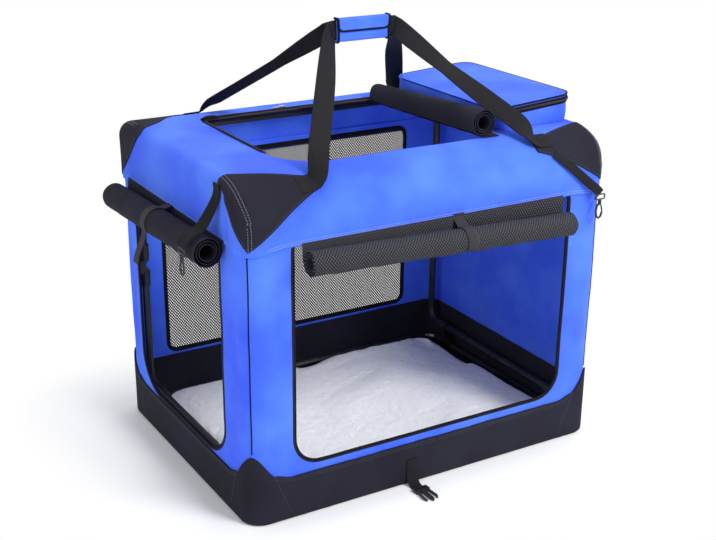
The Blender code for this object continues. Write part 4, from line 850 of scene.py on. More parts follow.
def make_net():
    u0, v0, u1, v1 = MESH[0] - 0.004, MESH[1] - 0.004, MESH[2] + 0.004, MESH[3] + 0.004

    def place(u, v):
        return wall_point("back", u0 + (u1 - u0) * u, v0 + (v1 - v0) * v, -0.0018)[0]

    shape = grid(70, 50, place, (u1 - u0, v1 - v0))
    turn_out(shape)
    net = as_object("rear_net", shape)
    dress(net, "base", "net", NET, replaces=["rear_window_net"], squash=WALL_FOLD)


def make_lining():
    """Black kick panel inside, all round above the floor."""
    def place(u, v):
        here, out = plan_point(PLAN_RUN * u, 0.0078)
        here.z = WALL_FOOT + 0.0005 + (0.1045 - WALL_FOOT) * v + 0.0008 * ripple(here, 16.0) * v
        return here + out * 0.0006 * ripple(here, 9.0, 1.0)

    shape = grid(240, 8, place, (PLAN_RUN, 0.10), merge=True)
    turn_out(shape)
    lining = as_object("inner_kick_panel", shape)
    thicken(lining, 0.0012)
    dress(lining, "base", "black_cloth", BLACK, squash=WALL_FOLD)


def band_top(point):
    """Height of the black base band: a pointed flap at each corner."""
    def rise(gap):
        if gap < 0.052:
            return 0.100 + 0.068 * (1 - gap / 0.052)
        return 0.090 + 0.010 * (1 - ease(0.052, 0.091, gap))
    wave = 0.0011 * ripple(Vector(point), 13.0, 5.0) + 0.0012 * ripple(Vector(point), 31.0, 1.0)
    sharp = min(rise(HALF_LENGTH - abs(point[0])), rise(HALF_WIDTH - abs(point[1])))
    return sharp - 0.006 * ease(0.135, 0.155, sharp) + wave


def corner_seam(surface, sx, sy, on_end):
    """A slanting seam from the foot of a corner's flap down towards the floor."""
    line = []
    for i in range(30):
        share = i / 29
        away = 0.054 + 0.034 * share
        z = 0.096 - 0.082 * share
        if on_end:
            guess = (sx * HALF_LENGTH, sy * (HALF_WIDTH - away), z)
        else:
            guess = (sx * (HALF_LENGTH - away), sy * HALF_WIDTH, z)
        place, normal, _, _ = surface.find_nearest(guess)
        line.append((place + normal * 0.0002, normal))
    return line


def make_tray():
    foot = 0.007

    def place(u, v):
        # the underside's edge, the rounded foot, then up the band
        here, out = plan_point(PLAN_RUN * u)
        if v < 0.1:
            inset = foot + 0.02 * (0.1 - v) / 0.1
            here, out = plan_point(PLAN_RUN * u, inset)
            return Vector((here.x, here.y, 0.0))
        if v < 0.3:
            turn = (v - 0.1) / 0.2 * math.pi / 2
            inset = foot * (1 - math.sin(turn))
            here, out = plan_point(PLAN_RUN * u, inset)
            return Vector((here.x, here.y, foot * (1 - math.cos(turn))))
        top = band_top(here)
        share = (v - 0.3) / 0.7
        here.z = foot + (top - foot) * share
        sag = 0.0010 * ripple(here, 7.0, 2.0) * math.sin(math.pi * min(1.0, share))
        return here + out * min(0.0012, sag)

    shape = grid(344, 20, place, (PLAN_RUN, 0.12), merge=True)
    low = [e for e in shape.edges if e.is_boundary and all(abs(v.co.z) < 1e-6 for v in e.verts)]
    bmesh.ops.contextual_create(shape, geom=low)
    turn_out(shape, (0, 0, 0.08))
    rows = rows_from(boundary_loops(shape), (0.004, 0.0085), 0.0002)
    shape.normal_update()
    surface = BVHTree.FromBMesh(shape)
    corner_seams = [corner_seam(surface, sx, sy, on_end) for sx in (-1, 1) for sy in (-1, 1)
                    for on_end in (False, True)]
    tray = as_object("base_band", shape)
    thicken(tray, 0.003)
    dress(tray, "base", "black_cloth", BLACK, replaces=["base_tray"])
    sew("base_band_stitches", rows, "base", thread=DARK_THREAD)
    sew("base_corner_seams", corner_seams, "base", thread=DARK_THREAD)


def fullness(y):
    """Roundness of the shoulder's profile: 2 is an ellipse, and the back is pushed out further."""
    return 3.2 if y > 0 else 2.0


def shoulder(point):
    """Bend a box's corners into the crate's shoulders and its rounded plan."""
    x, y, z = point
    inner = HALF_WIDTH - SHOULDER_RUN
    p = (abs(y) - inner) / SHOULDER_RUN
    q = (z - SHOULDER_Z) / SHOULDER_RISE
    if p > 0 and q > 0:
        full = fullness(y)
        y = math.copysign(inner + SHOULDER_RUN * p * (1 - q ** full / 2) ** (1 / full), y)
        z = SHOULDER_Z + SHOULDER_RISE * q * (1 - p ** full / 2) ** (1 / full)
    crest = roof_height(y)
    p = (abs(x) - HALF_LENGTH + END_ROUND) / END_ROUND
    q = (z - crest + END_ROUND) / END_ROUND
    if p > 0 and q > 0 and crest > SHOULDER_Z + END_ROUND:
        x = math.copysign(HALF_LENGTH - END_ROUND + END_ROUND * p * math.sqrt(1 - q * q / 2), x)
        z = crest - END_ROUND + END_ROUND * q * math.sqrt(1 - p * p / 2)
    a = HALF_LENGTH - CORNER
    b = HALF_WIDTH - CORNER
    p = (abs(x) - a) / CORNER
    q = (abs(y) - b) / CORNER
    if p > 0 and q > 0:
        x = math.copysign(a + CORNER * p * math.sqrt(1 - q * q / 2), x)
        y = math.copysign(b + CORNER * q * math.sqrt(1 - p * p / 2), y)
    return Vector((x, y, z))


ROOF_CREASES = (
    (Vector((-0.405, -0.222, 0.64)), Vector((-0.405, -0.232, 0.545)), 0.0065, -0.0070),
    (Vector((-0.405, -0.05, 0.645)), Vector((-0.405, 0.10, 0.56)), 0.022, -0.0016),
    (Vector((0.10, -0.29, 0.62)), Vector((0.24, -0.26, 0.64)), 0.012, -0.0012),
    (Vector((-0.18, -0.25, 0.645)), Vector((-0.05, -0.285, 0.60)), 0.016, -0.0010),
)


def roof_swell(point):
    swell = 0.0011 * ripple(point, 5.0, 4.0) + 0.0005 * ripple(point, 16.0, 9.0)
    for line in ROOF_CREASES:
        swell += crease(point, *line)
    return swell - 0.0003


def roof_sheet(cell=0.0085):
    """The roof's surface from its hem up, as one sewn sheet."""
    shape = sliced_box((-HALF_LENGTH, -HALF_WIDTH, HEM_Z), (HALF_LENGTH, HALF_WIDTH, HEIGHT), cell, "-z")
    for vert in shape.verts:
        vert.co = shoulder(vert.co)
    for vert in shape.verts:
        near = ease(0.10, 0.0, HALF_LENGTH - abs(vert.co.x)) * ease(0.08, 0.0, HALF_WIDTH - abs(vert.co.y))
        vert.co.z -= CORNER_DIP * near * ease(0.61, HEM_Z, vert.co.z)
    lift(shape, roof_swell)
    shape.normal_update()
    return shape


def make_roof():
    shape = roof_sheet()
    turn_out(shape, (0, 0, 0.5))
    rows = rows_from(boundary_loops(shape), (0.0045, 0.0085), 0.0002)
    roof = as_object("roof_cloth", shape)
    thicken(roof, 0.0026)
    settle(roof)
    cut_hole(roof, rounded(HATCH, 0.002, 10, 0.092), 0.62, 0.70, "Z")
    dress(roof, "top", "blue_cloth", BLUE, replaces=["roof_cover"])
    sew("roof_hem_stitches", rows, "top", thread=BLUE_THREAD)


def chain(points):
    """A height read from a chain of points, straight between them."""
    points = sorted(points)

    def read(value):
        for (a, low), (b, high) in zip(points, points[1:]):
            if value <= b:
                share = (value - a) / (b - a)
                return low + (high - low) * share
        return points[-1][1]
    return read


def bow(points, steps=10):
    """The same chain, drawn as a smooth curve."""
    track = smooth_track([(a, b, 0) for a, b in points], steps)
    return chain([(p.x, p.y) for p in track.points])


FACE_LINE = bow([(0.200, 0.640), (0.243, 0.630), (0.300, 0.606), (0.350, 0.573), (0.385, 0.546),
                 (0.406, 0.522)])
RIGHT_FACE_LINE = bow([(0.200, 0.640), (0.243, 0.631), (0.300, 0.612), (0.350, 0.586), (0.385, 0.564),
                       (0.406, 0.550)])
RIGHT_CHORD_LINE = bow([(0.150, 0.700), (0.200, 0.652), (0.250, 0.611), (0.301, 0.550)])
PLAN_LINE = bow([(0.200, 0.256), (0.243, 0.248), (0.325, 0.222), (0.385, 0.205), (0.406, 0.200)])
CHORD_LINE = bow([(0.150, 0.700), (0.200, 0.652), (0.250, 0.604), (0.301, 0.524)])
FAR_PLAN_LINE = bow([(0.200, 0.266), (0.243, 0.262), (0.300, 0.243), (0.350, 0.195), (0.406, 0.155)])
FAR_CHORD_LINE = bow([(0.120, 0.700), (0.155, 0.655), (0.200, 0.610), (0.250, 0.563), (0.301, 0.524)])


def seam_arc(surface, sx, sy, inset):
    """A sewing line that follows the shoulder, a little way in from the roof's end edge."""
    line = []
    for i in range(60):
        run = i / 59
        x = sx * (HALF_LENGTH - inset)
        if run < 0.5:
            box_point = (x, sy * (0.205 + 0.095 * run * 2), HEIGHT)
        else:
            box_point = (x, sy * HALF_WIDTH, HEIGHT - (HEIGHT - HEM_Z) * (run * 2 - 1))
        place, normal, _, _ = surface.find_nearest(shoulder(box_point))
        line.append((place + normal * 0.0004, normal))
    return line


def make_patches():
    edges, arcs = [], []
    for name, sx, sy, facing, plan, chord in (
            ("patch_front_left", -1, -1, FACE_LINE, PLAN_LINE, CHORD_LINE),
            ("patch_front_right", 1, -1, RIGHT_FACE_LINE, PLAN_LINE, RIGHT_CHORD_LINE),
            ("patch_back_left", -1, 1, FACE_LINE, FAR_PLAN_LINE, FAR_CHORD_LINE),
            ("patch_back_right", 1, 1, FACE_LINE, PLAN_LINE, CHORD_LINE)):
        shape = roof_sheet(0.006)
        turn_out(shape, (0, 0, 0.5))
        far = [v for v in shape.verts if v.co.x * sx < 0.19 or v.co.y * sy < 0.13]
        bmesh.ops.delete(shape, geom=far, context="VERTS")
        ways = ((0, lambda p: 0.243 * sx, sx > 0),
                (2, lambda p: facing(abs(p.x)), True),
                (1, lambda p: sy * plan(abs(p.x)), sy > 0),
                (2, lambda p: chord(abs(p.y)), True))
        for axis, limit, high in ways:
            trim(shape, axis, limit, high)
        shape.normal_update()
        lift(shape, 0.0020)
        shape.normal_update()
        edges += rows_from(boundary_loops(shape), (0.0035,), 0.0002)
        surface = BVHTree.FromBMesh(shape)
        arcs += [seam_arc(surface, sx, sy, inset) for inset in (0.005, 0.012)]
        patch = as_object(name + "_cloth", shape)
        thicken(patch, 0.0017)
        dress(patch, "top", "black_cloth", BLACK, replaces=[name])
    sew("patch_edge_stitches", edges, "top", thread=DARK_THREAD)
    sew("patch_seam_stitches", arcs, "top")


def roof_height(y, offset=0.0):
    full = fullness(y)
    over = max(0.0, abs(y) - (HALF_WIDTH - SHOULDER_RUN)) / (SHOULDER_RUN + offset)
    return SHOULDER_Z + (SHOULDER_RISE + offset) * max(0.0, 1 - over ** full) ** (1 / full)


def roof_side(z, offset=0.0):
    rise = max(0.0, z - SHOULDER_Z) / (SHOULDER_RISE + offset)
    return HALF_WIDTH - SHOULDER_RUN + (SHOULDER_RUN + offset) * math.sqrt(max(0.0, 1 - rise * rise))


# Rolled panels

BORE = 0.46
TURNS = 3


def roll_sheet(name, first, last, radii, start, clockwise, lead, material, tape, nodes, slot,
               end_tape=0.012, ripple_size=0.0012):
    """A panel rolled round an axis along X or Y, with its loose lead up to where it is sewn."""
    first, last = Vector(first), Vector(last)
    run = last - first
    along = 1 if abs(run.y) > abs(run.x) else 0
    out = 1 - along
    sign = -1 if clockwise else 1
    steps = TURNS * 26
    spiral = []
    for i in range(steps + 1):
        turn = i / 26
        reach = 1 - (1 - BORE) / TURNS * turn
        angle = math.radians(start) + sign * 2 * math.pi * turn
        spiral.append((reach * math.cos(angle), reach * math.sin(angle), turn))
    length = run.length
    mean = (radii[0] + radii[1]) / 2
    cloth_run = sum(math.hypot(b[0] - a[0], b[1] - a[1]) for a, b in zip(spiral, spiral[1:])) * mean
    rows = len(lead) + steps

    def place(u, v):
        here = first + run * u
        radius = radii[0] + (radii[1] - radii[0]) * u
        k = v * rows
        if k < len(lead):
            a = lead[int(k)]
            b = lead[int(k) + 1] if int(k) + 1 < len(lead) else None
            if b is None:
                b = (here[out] + spiral[0][0] * radius, here.z + spiral[0][1] * radius)
            t = k - int(k)
            spot = (a[0] + (b[0] - a[0]) * t, a[1] + (b[1] - a[1]) * t)
            made = here.copy()
            made[out] = spot[0]
            made.z = spot[1]
            return made
        k = min(k - len(lead), steps - 1e-6)
        a, b = spiral[int(k)], spiral[int(k) + 1]
        t = k - int(k)
        cu, cv = a[0] + (b[0] - a[0]) * t, a[1] + (b[1] - a[1]) * t
        turn = a[2] + (b[2] - a[2]) * t
        probe = Vector((here[along] * 1.0, cu * 0.02, cv * 0.02))
        wave = ripple_size * ripple(probe, 24.0, 2.0) + ripple_size * 0.8 * ripple(probe, 60.0, 6.0)
        slack = radius + wave * (1 - 0.2 * turn) - 0.0006
        made = here.copy()
        made[out] += cu * slack
        made.z += cv * slack
        made[along] += (0.0022 * ripple(Vector((0, turn * 2, 0)), 3.0, 8.0)) * (1 - 2 * u)
        return made

    columns = int(length / 0.008)
    shape = grid(columns, rows, place, (length, cloth_run + 0.03))
    shape.normal_update()
    lay = shape.loops.layers.uv.active
    wound = [0.0]
    for k in range(rows):
        wound.append(wound[-1] + (place(0.5, (k + 1) / rows) - place(0.5, k / rows)).length)
    for face in shape.faces:
        for loop in face.loops:
            spot = loop[lay].uv
            spot.y = wound[round(spot.y / (cloth_run + 0.03) * rows)]
        u = sum(loop[lay].uv.x for loop in face.loops) / 4
        if u < end_tape or u > length - end_tape:
            face.material_index = 1
    roll = as_object(name, shape)
    thicken(roll, 0.0014, 0.0)
    dress(roll, "top", slot, material, tape, replaces=nodes, smooth=50)
    return roll


def make_rolls():
    near_y, far_y = HATCH[1] - 0.009, HATCH[3] - 0.010
    share = 0.009 / (far_y - near_y)
    near_z = (roof_height(HATCH[1], 0.0004) - share * 0.645) / (1 - share)
    roll_sheet("rolled_hatch_panel", (0.151, near_y, near_z + 0.0285), (0.158, far_y + 0.014, 0.6675),
               (0.0285, 0.0225), -90.0, False, [(0.189, 0.6595), (0.174, 0.6598)], BLACK, BINDING,
               ["hatch_roll"], "black_cloth", 0.004, 0.0010)
    roll_sheet("rolled_door_panel", (-0.4365, -0.225, 0.532), (-0.4365, 0.228, 0.514),
               (0.0298, 0.0298), 20.0, True, [(-0.4058, 0.547), (-0.4066, 0.543)], BLACK, BINDING,
               ["door_roll"], "black_cloth", 0.006, 0.0012)
    roll_sheet("rolled_window_panel", (-0.291, -0.3285, 0.518), (0.288, -0.3285, 0.497),
               (0.0258, 0.0258), 20.0, True, [(-0.3004, 0.546), (-0.3012, 0.542)], ROLLED_NET, ROLL_END,
               ["window_roll"], "net", 0.030, 0.0014)


def roll_reach(radius, angle):
    turned = (20.0 - angle) % 360
    return radius - radius * (1 - BORE) / TURNS * turned / 360


def make_ties():
    for name, wall_u, root_z, roll, radius, place, tail, node in (
            ("door_tie", HALF_LENGTH, 0.549, ((-0.4365, -0.225, 0.532), (-0.4365, 0.228, 0.514)), 0.0298,
             0.008, True, "door_roll_tie"),
            ("window_tie", HALF_WIDTH, 0.549, ((-0.291, -0.3285, 0.518), (0.288, -0.3285, 0.497)), 0.0258,
             0.040, False, "window_roll_tie")):
        first, last = (Vector(end) for end in roll)
        run = last - first
        along, out = (1, 0) if abs(run.y) > abs(run.x) else (0, 1)
        middle = first + run * (place - first[along]) / run[along]
        stand = 0.0012
        face = wall_u + stand
        path = [(face, root_z), (face, (root_z + middle.z + radius) / 2)]
        for i in range(13):
            angle = 62.0 + 150.0 * i / 12
            ring = roll_reach(radius, angle) + stand + 0.0006
            turn = math.radians(angle)
            path.append((-middle[out] - ring * math.cos(turn), middle.z + ring * math.sin(turn)))
        end_u, end_z = path[-1]
        if tail:
            path += [(end_u + 0.006, end_z - 0.020), (end_u + 0.016, end_z - 0.042), (end_u + 0.021, end_z - 0.062)]
        stations = []
        for u, z in path:
            point = Vector((0, 0, z))
            point[along] = place
            point[out] = -u
            stations.append((point, run.normalized()))
        obj = ribbon(name, stations, 0.024, 0.0014, 4, 4)
        dress(obj, "top", "webbing", TIE_WEBBING, replaces=[node])


# Straps, handle and grip

GRIP = Vector((-0.005, -0.020, 0.853))
GRIP_LENGTH = 0.118
WEB = 0.038
WEB_THICK = 0.0018


def handle_strap(name, sy, web_y, node):
    lie = WEB_THICK / 2 + 0.0021 + 0.0012
    margin = 0.004
    upright = Vector((0, 0, 1))
    stations = []
    for sx in (-1, 1):
        foot_y = sy * (0.250 if (sx, sy) == (1, -1) else 0.262)
        fall = (roof_height(foot_y + margin) - roof_height(foot_y - margin)) / (2 * margin)
        slope = Vector((0, 1, fall)).normalized() * -sy
        end_x = GRIP.x + sx * GRIP_LENGTH / 2
        foot_x, lifted, tab_run = {(1, 1): (0.250, 0.008, 0.040), (1, -1): (0.244, 0.008, 0.040),
                                   (-1, 1): (0.222, 0.004, 0.050), (-1, -1): (0.238, 0.018, 0.040)}[sx, sy]
        rise = upright * lifted
        tab = Vector((sx * (foot_x + tab_run), foot_y, roof_height(foot_y, 0.0004)))
        under = Vector((sx * (foot_x + 0.012), foot_y, roof_height(foot_y, 0.0014)))
        foot = Vector((sx * foot_x, foot_y, roof_height(foot_y, lie))) + rise * 0.5
        leave = Vector((end_x + sx * WEB / 2, web_y + sy * WEB / 4, GRIP.z - WEB / 5))
        level = Vector((foot.y - leave.y, leave.x - foot.x, 0)).normalized()
        level *= math.copysign(1, level.x) * sx
        lean = {(1, -1): 1.3, (-1, 1): 0.45}.get((sx, sy), 0.0)
        half = [(tab, slope), (under, slope), (foot, level * 0.4 + upright * lean * 0.2 + slope)]
        for way, high, turn in ((0.10, 1.0, lean), (0.35, 0.5, lean), (0.65, 0.0, 0.5)):
            half.append((foot.lerp(leave, way) + rise * high, level + upright * turn))
        half.append((leave, level * 0.45 + upright))
        half.append((Vector((end_x, web_y, GRIP.z)), upright))
        stations += half if sx < 0 else half[::-1]
    obj = ribbon(name, stations, WEB, WEB_THICK, 6, 10)
    dress(obj, "top", "webbing", WEBBING, replaces=[node])
    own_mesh(obj)


def make_handle():
    handle_strap("front_carry_strap", -1, GRIP.y - 0.0013, "front_handle_strap")
    handle_strap("back_carry_strap", 1, GRIP.y + 0.0013, "back_handle_strap")
    low, high = 0.8296, 0.8722
    half_y = 0.0074
    x0, x1 = -0.064, 0.054

    def section(v, puff):
        turn = 2 * math.pi * v
        c, s = math.cos(turn), math.sin(turn)
        r = 0.0066
        cu = math.copysign(half_y - r, c) if abs(c) > 1e-9 else 0.0
        cz = math.copysign((high - low) / 2 - r, s) if abs(s) > 1e-9 else 0.0
        return Vector((0, GRIP.y + cu + (r + puff) * c, (low + high) / 2 + cz + (r + puff) * s))

    def place(u, v):
        here = section(v, 0.0005 * ripple(Vector((u * 5, v * 4, 0)), 1.6, 3.0) - 0.0004)
        here.x = x0 + (x1 - x0) * u
        return here

    shape = grid(40, 40, place, (x1 - x0, 0.10), merge=True)
    bmesh.ops.holes_fill(shape, edges=[e for e in shape.edges if e.is_boundary], sides=0)
    close_up(shape)
    grip = as_object("grip_sleeve", shape)
    dress(grip, "grip", "blue_cloth", BLUE, replaces=["handle_grip"])
    rings = []
    for x in (x0 + 0.003, x1 - 0.003):
        points = []
        for i in range(28):
            p = section(i / 28, 0.0)
            p.x = x
            points.append(p)
        rings.append(Track(points, closed=True))
    for side, track in zip(("left", "right"), rings):
        obj = tube_along(f"grip_{side}_ring", track, 0.0026, 8, 60)
        dress(obj, "grip", "black_cloth", BINDING)
    # the flap: over the top and down the front, with a bound edge
    drop = 0.021
    profile = [(GRIP.y + 0.0074, 0.8722), (GRIP.y + 0.0070, 0.8742), (GRIP.y + 0.0050, 0.8752),
               (GRIP.y - 0.0050, 0.8752), (GRIP.y - 0.0078, 0.8744), (GRIP.y - 0.0088, 0.8715),
               (GRIP.y - 0.0090, 0.8600), (GRIP.y - 0.0092, high - drop)]
    line = smooth_track([(y, z, 0) for y, z in profile], 5)

    def flap_place(u, v):
        spot = line.at(v)
        x = x0 + (x1 - x0) * u
        rounding = 0.014
        down = max(0.0, v - 0.62) / 0.38
        edge = min(x - x0, x1 - x)
        if edge < rounding:
            lift_by = rounding - math.sqrt(max(0.0, rounding ** 2 - (rounding - edge) ** 2))
        else:
            lift_by = 0.0
        puff = 0.0007 * ripple(Vector((u * 4, v * 3, 0)), 2.0, 5.0) * down
        return Vector((x, spot.x - puff, spot.y + lift_by * down))

    shape = grid(48, 30, flap_place, (x1 - x0, line.length))
    turn_out(shape, (GRIP.x, GRIP.y, GRIP.z))
    flap = as_object("grip_cover_flap", shape)
    thicken(flap, 0.0016, -1.0)
    dress(flap, "grip_cover", "blue_cloth", BLUE, replaces=["grip_flap"])
    piping = []
    for u in range(13):
        piping.append(flap_place(0.012, 0.10 + 0.90 * u / 12))
    for u in range(1, 40):
        piping.append(flap_place(0.012 + 0.976 * u / 40, 1.0))
    for u in range(13):
        piping.append(flap_place(0.988, 1.0 - 0.90 * u / 12))
    obj = tube_along("grip_flap_binding", smooth_track([p + Vector((0, 0.0006, 0)) for p in piping], 2),
                     0.0031, 8, 130, 0.7)
    dress(obj, "grip_cover", "black_cloth", BINDING)


def make_hook_straps():
    stand = 0.0033
    turning = 0.0107
    eye_top = 0.0119
    roll_out = 0.4663
    roll_top = 0.5618
    face = HALF_LENGTH + stand
    y = -0.206
    eye_x = -roll_out - turning
    eye_z = 0.5299
    rise = 0.0032
    points = [(-face, y, 0.648), (-face, y, 0.622), (-(face + roll_out) / 2, y, roll_top + 4 * rise),
              (-roll_out + 2 * rise, y, roll_top + rise), (eye_x + rise / 2, y, roll_top - 0.010),
              (eye_x, y, eye_z + eye_top)]
    turns = ((0, 1, 0), (-0.25, 0.9, 0), (-0.75, 0.66, 0), (-0.75, 0.66, 0), (-0.4, 0.9, 0), (0, 1, 0))
    obj = ribbon("left_hook_webbing", list(zip(points, turns)), 0.021, 0.0016, 4, 8)
    dress(obj, "top", "webbing", WEBBING, replaces=["left_hook_strap"])
    start_z = 0.608 + 0.018
    start = Vector((0.318 - 0.042, -roof_side(start_z, stand), start_z))
    eye = Vector((0.373, -0.3128, 0.5285))
    stop = eye + Vector((0, 0, eye_top))
    bend = stop + Vector((-0.010, 0, 0.010))
    run = (bend - start).normalized()
    across = Vector((-run.z, 0, run.x)).normalized()
    across *= math.copysign(1, across.x)
    stations = []
    for i in range(7):
        point = start.lerp(bend, i / 7)
        hump = 0.0016 * math.sin(math.pi * i / 7)
        point.y = min(point.y, -roof_side(point.z, stand) - hump)
        lean = (roof_side(point.z - 0.004) - roof_side(point.z + 0.004)) / 0.008
        stations.append((point, (across.x, across.z * lean, across.z)))
    stations += [(bend, across + Vector((1, 0, 0))), (stop, (1, 0, 0))]
    obj = ribbon("right_hook_webbing", stations, 0.019, 0.0016, 4, 6)
    dress(obj, "top", "webbing", WEBBING, replaces=["right_hook_strap"])


def make_closing_straps():
    for name, sy, body, node in (("front_closing_webbing", -1, "front_closing", "front_closing_strap"),
                                 ("rear_closing_webbing", 1, "rear_closing", "rear_closing_strap")):
        face = HALF_WIDTH + 0.0004 + 0.0009
        low = 0.0004 + 0.0009
        stations = []
        for way, rise in ((0.0, 1.0), (0.0, 0.45), (0.07, 0.22), (0.35, 0.04), (0.6, 0.0), (1.0, 0.0)):
            point = (-0.050, sy * (face + 0.026 * way), low + (0.056 - low) * rise)
            stations.append((point, (1, 0, 0)))
        obj = ribbon(name, stations, 0.025, 0.0018, 4, 8)
        dress(obj, body, "webbing", WEBBING, replaces=[node])


# Pocket, zips and mat

def pocket_rim(x):
    share = (x - POCKET[0]) / (POCKET[2] - POCKET[0])
    return POCKET_RIMS[0] + (POCKET_RIMS[1] - POCKET_RIMS[0]) * share


def make_pocket():
    outline = Track(rounded(POCKET, 0.0, 10), closed=True)
    foot = HEIGHT + 0.0006

    def place(u, v):
        here = outline.at(u)
        ahead = outline.heading(u)
        away = Vector((ahead.y, -ahead.x, 0))
        rim = pocket_rim(here.x)
        z = foot + (rim - 0.0006 - foot) * v
        probe = Vector((here.x, here.y, z))
        puff = 0.0028 * math.sin(math.pi * v) * (0.7 + 0.9 * ripple(probe, 16.0, 2.0)) - 0.0012
        return Vector((here.x, here.y, z)) + away * puff

    shape = grid(180, 12, place, (outline.length, 0.045), merge=True)
    floor = [e for e in shape.edges if e.is_boundary and all(abs(v.co.z - foot) < 1e-5 for v in e.verts)]
    bmesh.ops.contextual_create(shape, geom=floor)
    turn_out(shape, (0.296, -0.002, 0.68))
    box = as_object("pocket_box", shape)
    thicken(box, 0.0018)
    dress(box, "top", "blue_cloth", BLUE, replaces=["pocket"])
    # the zip: a tape just under the lid, and its coil
    zip_line = []
    count = 120
    start, stop = 0.0, 1.0
    for i in range(count + 1):
        u = start + (stop - start) * i / count
        here = outline.at(u)
        ahead = outline.heading(u)
        away = Vector((ahead.y, -ahead.x, 0))
        if here.x < POCKET[0] + 0.012:
            continue
        zip_line.append((Vector((here.x, here.y, pocket_rim(here.x))), away))
    gap = max(range(1, len(zip_line)), key=lambda k: (zip_line[k][0] - zip_line[k - 1][0]).length)
    zip_line = zip_line[gap:] + zip_line[:gap]

    def tape_place(u, v):
        k = u * (len(zip_line) - 1)
        i = min(int(k), len(zip_line) - 2)
        t = k - i
        here = zip_line[i][0].lerp(zip_line[i + 1][0], t)
        away = zip_line[i][1].lerp(zip_line[i + 1][1], t)
        return here + away * (0.0012 + 0.0006 * math.sin(math.pi * v)) + Vector((0, 0, -0.0145 + 0.013 * v))

    run = sum((b[0] - a[0]).length for a, b in zip(zip_line, zip_line[1:]))
    shape = grid(150, 4, tape_place, (run, 0.013))
    turn_out(shape, (0.296, -0.002, 0.70))
    tape = as_object("pocket_zip_tape", shape)
    thicken(tape, 0.0008)
    dress(tape, "top", "black_cloth", TAPE)
    coil_line = Track([p + a * 0.0026 + Vector((0, 0, -0.0075)) for p, a in zip_line])
    coil = zip_coil("pocket_zip_coil", coil_line, "top")
    # the lid
    x0, y0, x1, y1 = POCKET[:4]

    def lid_place(u, v):
        a, b = 2 * u - 1, 2 * v - 1
        half = Vector(((x1 - x0) / 2, (y1 - y0) / 2))
        middle = Vector(((x1 + x0) / 2, (y1 + y0) / 2))
        straight = half - Vector((POCKET[4], POCKET[4]))
        spot = Vector((abs(a) * half.x, abs(b) * half.y))
        p = max(0.0, (spot.x - straight.x) / POCKET[4])
        q = max(0.0, (spot.y - straight.y) / POCKET[4])
        if p > 0 and q > 0:
            spot.x = straight.x + POCKET[4] * p * math.sqrt(1 - q * q / 2)
            spot.y = straight.y + POCKET[4] * q * math.sqrt(1 - p * p / 2)
        x = middle.x + math.copysign(spot.x, a)
        y = middle.y + math.copysign(spot.y, b)
        probe = Vector((x, y, 0))
        swell = 0.0072 * (1 - a ** 4) * (1 - b ** 4)
        wrinkle = 0.0022 * ripple(probe, 12.0, 6.0) + 0.0010 * ripple(probe, 34.0, 1.0)
        wrinkle *= (1 - a ** 6) * (1 - b ** 6)
        return Vector((x, y, pocket_rim(x) + 0.0030 + swell + wrinkle))

    shape = grid(36, 66, lid_place, (x1 - x0, y1 - y0))
    turn_out(shape, (0.296, 0.0, 0.60))
    rim = [p for p in Track(rounded(POCKET, 0.0005, 10), closed=True).points]
    lid = as_object("pocket_lid_cloth", shape)
    thicken(lid, 0.0020)
    dress(lid, "lid", "blue_cloth", BLUE, replaces=["pocket_lid"])
    points = [Vector((p.x, p.y, pocket_rim(p.x) + 0.0022)) for p in rim[:-1]]
    hinge = [p for p in points if p.x < x0 + POCKET[4] * 1.4]
    rest = [p for p in points if p.x >= x0 + POCKET[4]]
    for title, line, thick, material in (("pocket_lid_piping", rest, 0.0018, BINDING),
                                         ("pocket_hinge_fold", hinge, 0.0021, BLUE)):
        gap = max(range(1, len(line)), key=lambda k: (line[k] - line[k - 1]).length)
        if (line[gap] - line[gap - 1]).length > 0.25:
            line = line[gap:] + line[:gap]
        piping = tube_along(title, Track(line), thick, 8, 130)
        dress(piping, "lid", "blue_cloth" if material is BLUE else "black_cloth", material)


def zip_coil(name, track, body, pitch=0.0030):
    """The coil's teeth: short bars across the zip, close together."""
    whole = bmesh.new()
    seed_mesh = bpy.data.meshes.new("tooth")
    tooth = bmesh.new()
    bmesh.ops.create_cube(tooth, size=1.0)
    bmesh.ops.bevel(tooth, geom=tooth.edges[:], offset=0.18, segments=1, profile=0.5, affect="EDGES",
                    material=-1)
    tooth.to_mesh(seed_mesh)
    tooth.free()
    count = int(track.length / pitch)
    holder = bpy.data.meshes.new(name)
    row = bmesh.new()
    for i in range(count):
        share = (i + 0.5) / count
        here = track.at(share)
        ahead = track.heading(share)
        side = ahead.cross(Vector((0, 0, 1))).normalized()
        up = side.cross(ahead)
        turn = Matrix((ahead * pitch * 0.62, side * 0.0022, up * 0.0044)).transposed().to_4x4()
        turn.translation = here
        row.from_mesh(seed_mesh)
        row.verts.ensure_lookup_table()
        bmesh.ops.transform(row, matrix=turn, verts=row.verts[-len(seed_mesh.vertices):])
        if i % 60 == 59 or i == count - 1:
            row.to_mesh(holder)
            row.free()
            whole.from_mesh(holder)
            row = bmesh.new()
    row.free()
    obj = as_object(name, whole)
    return dress(obj, body, "plastic", COIL, smooth=30)


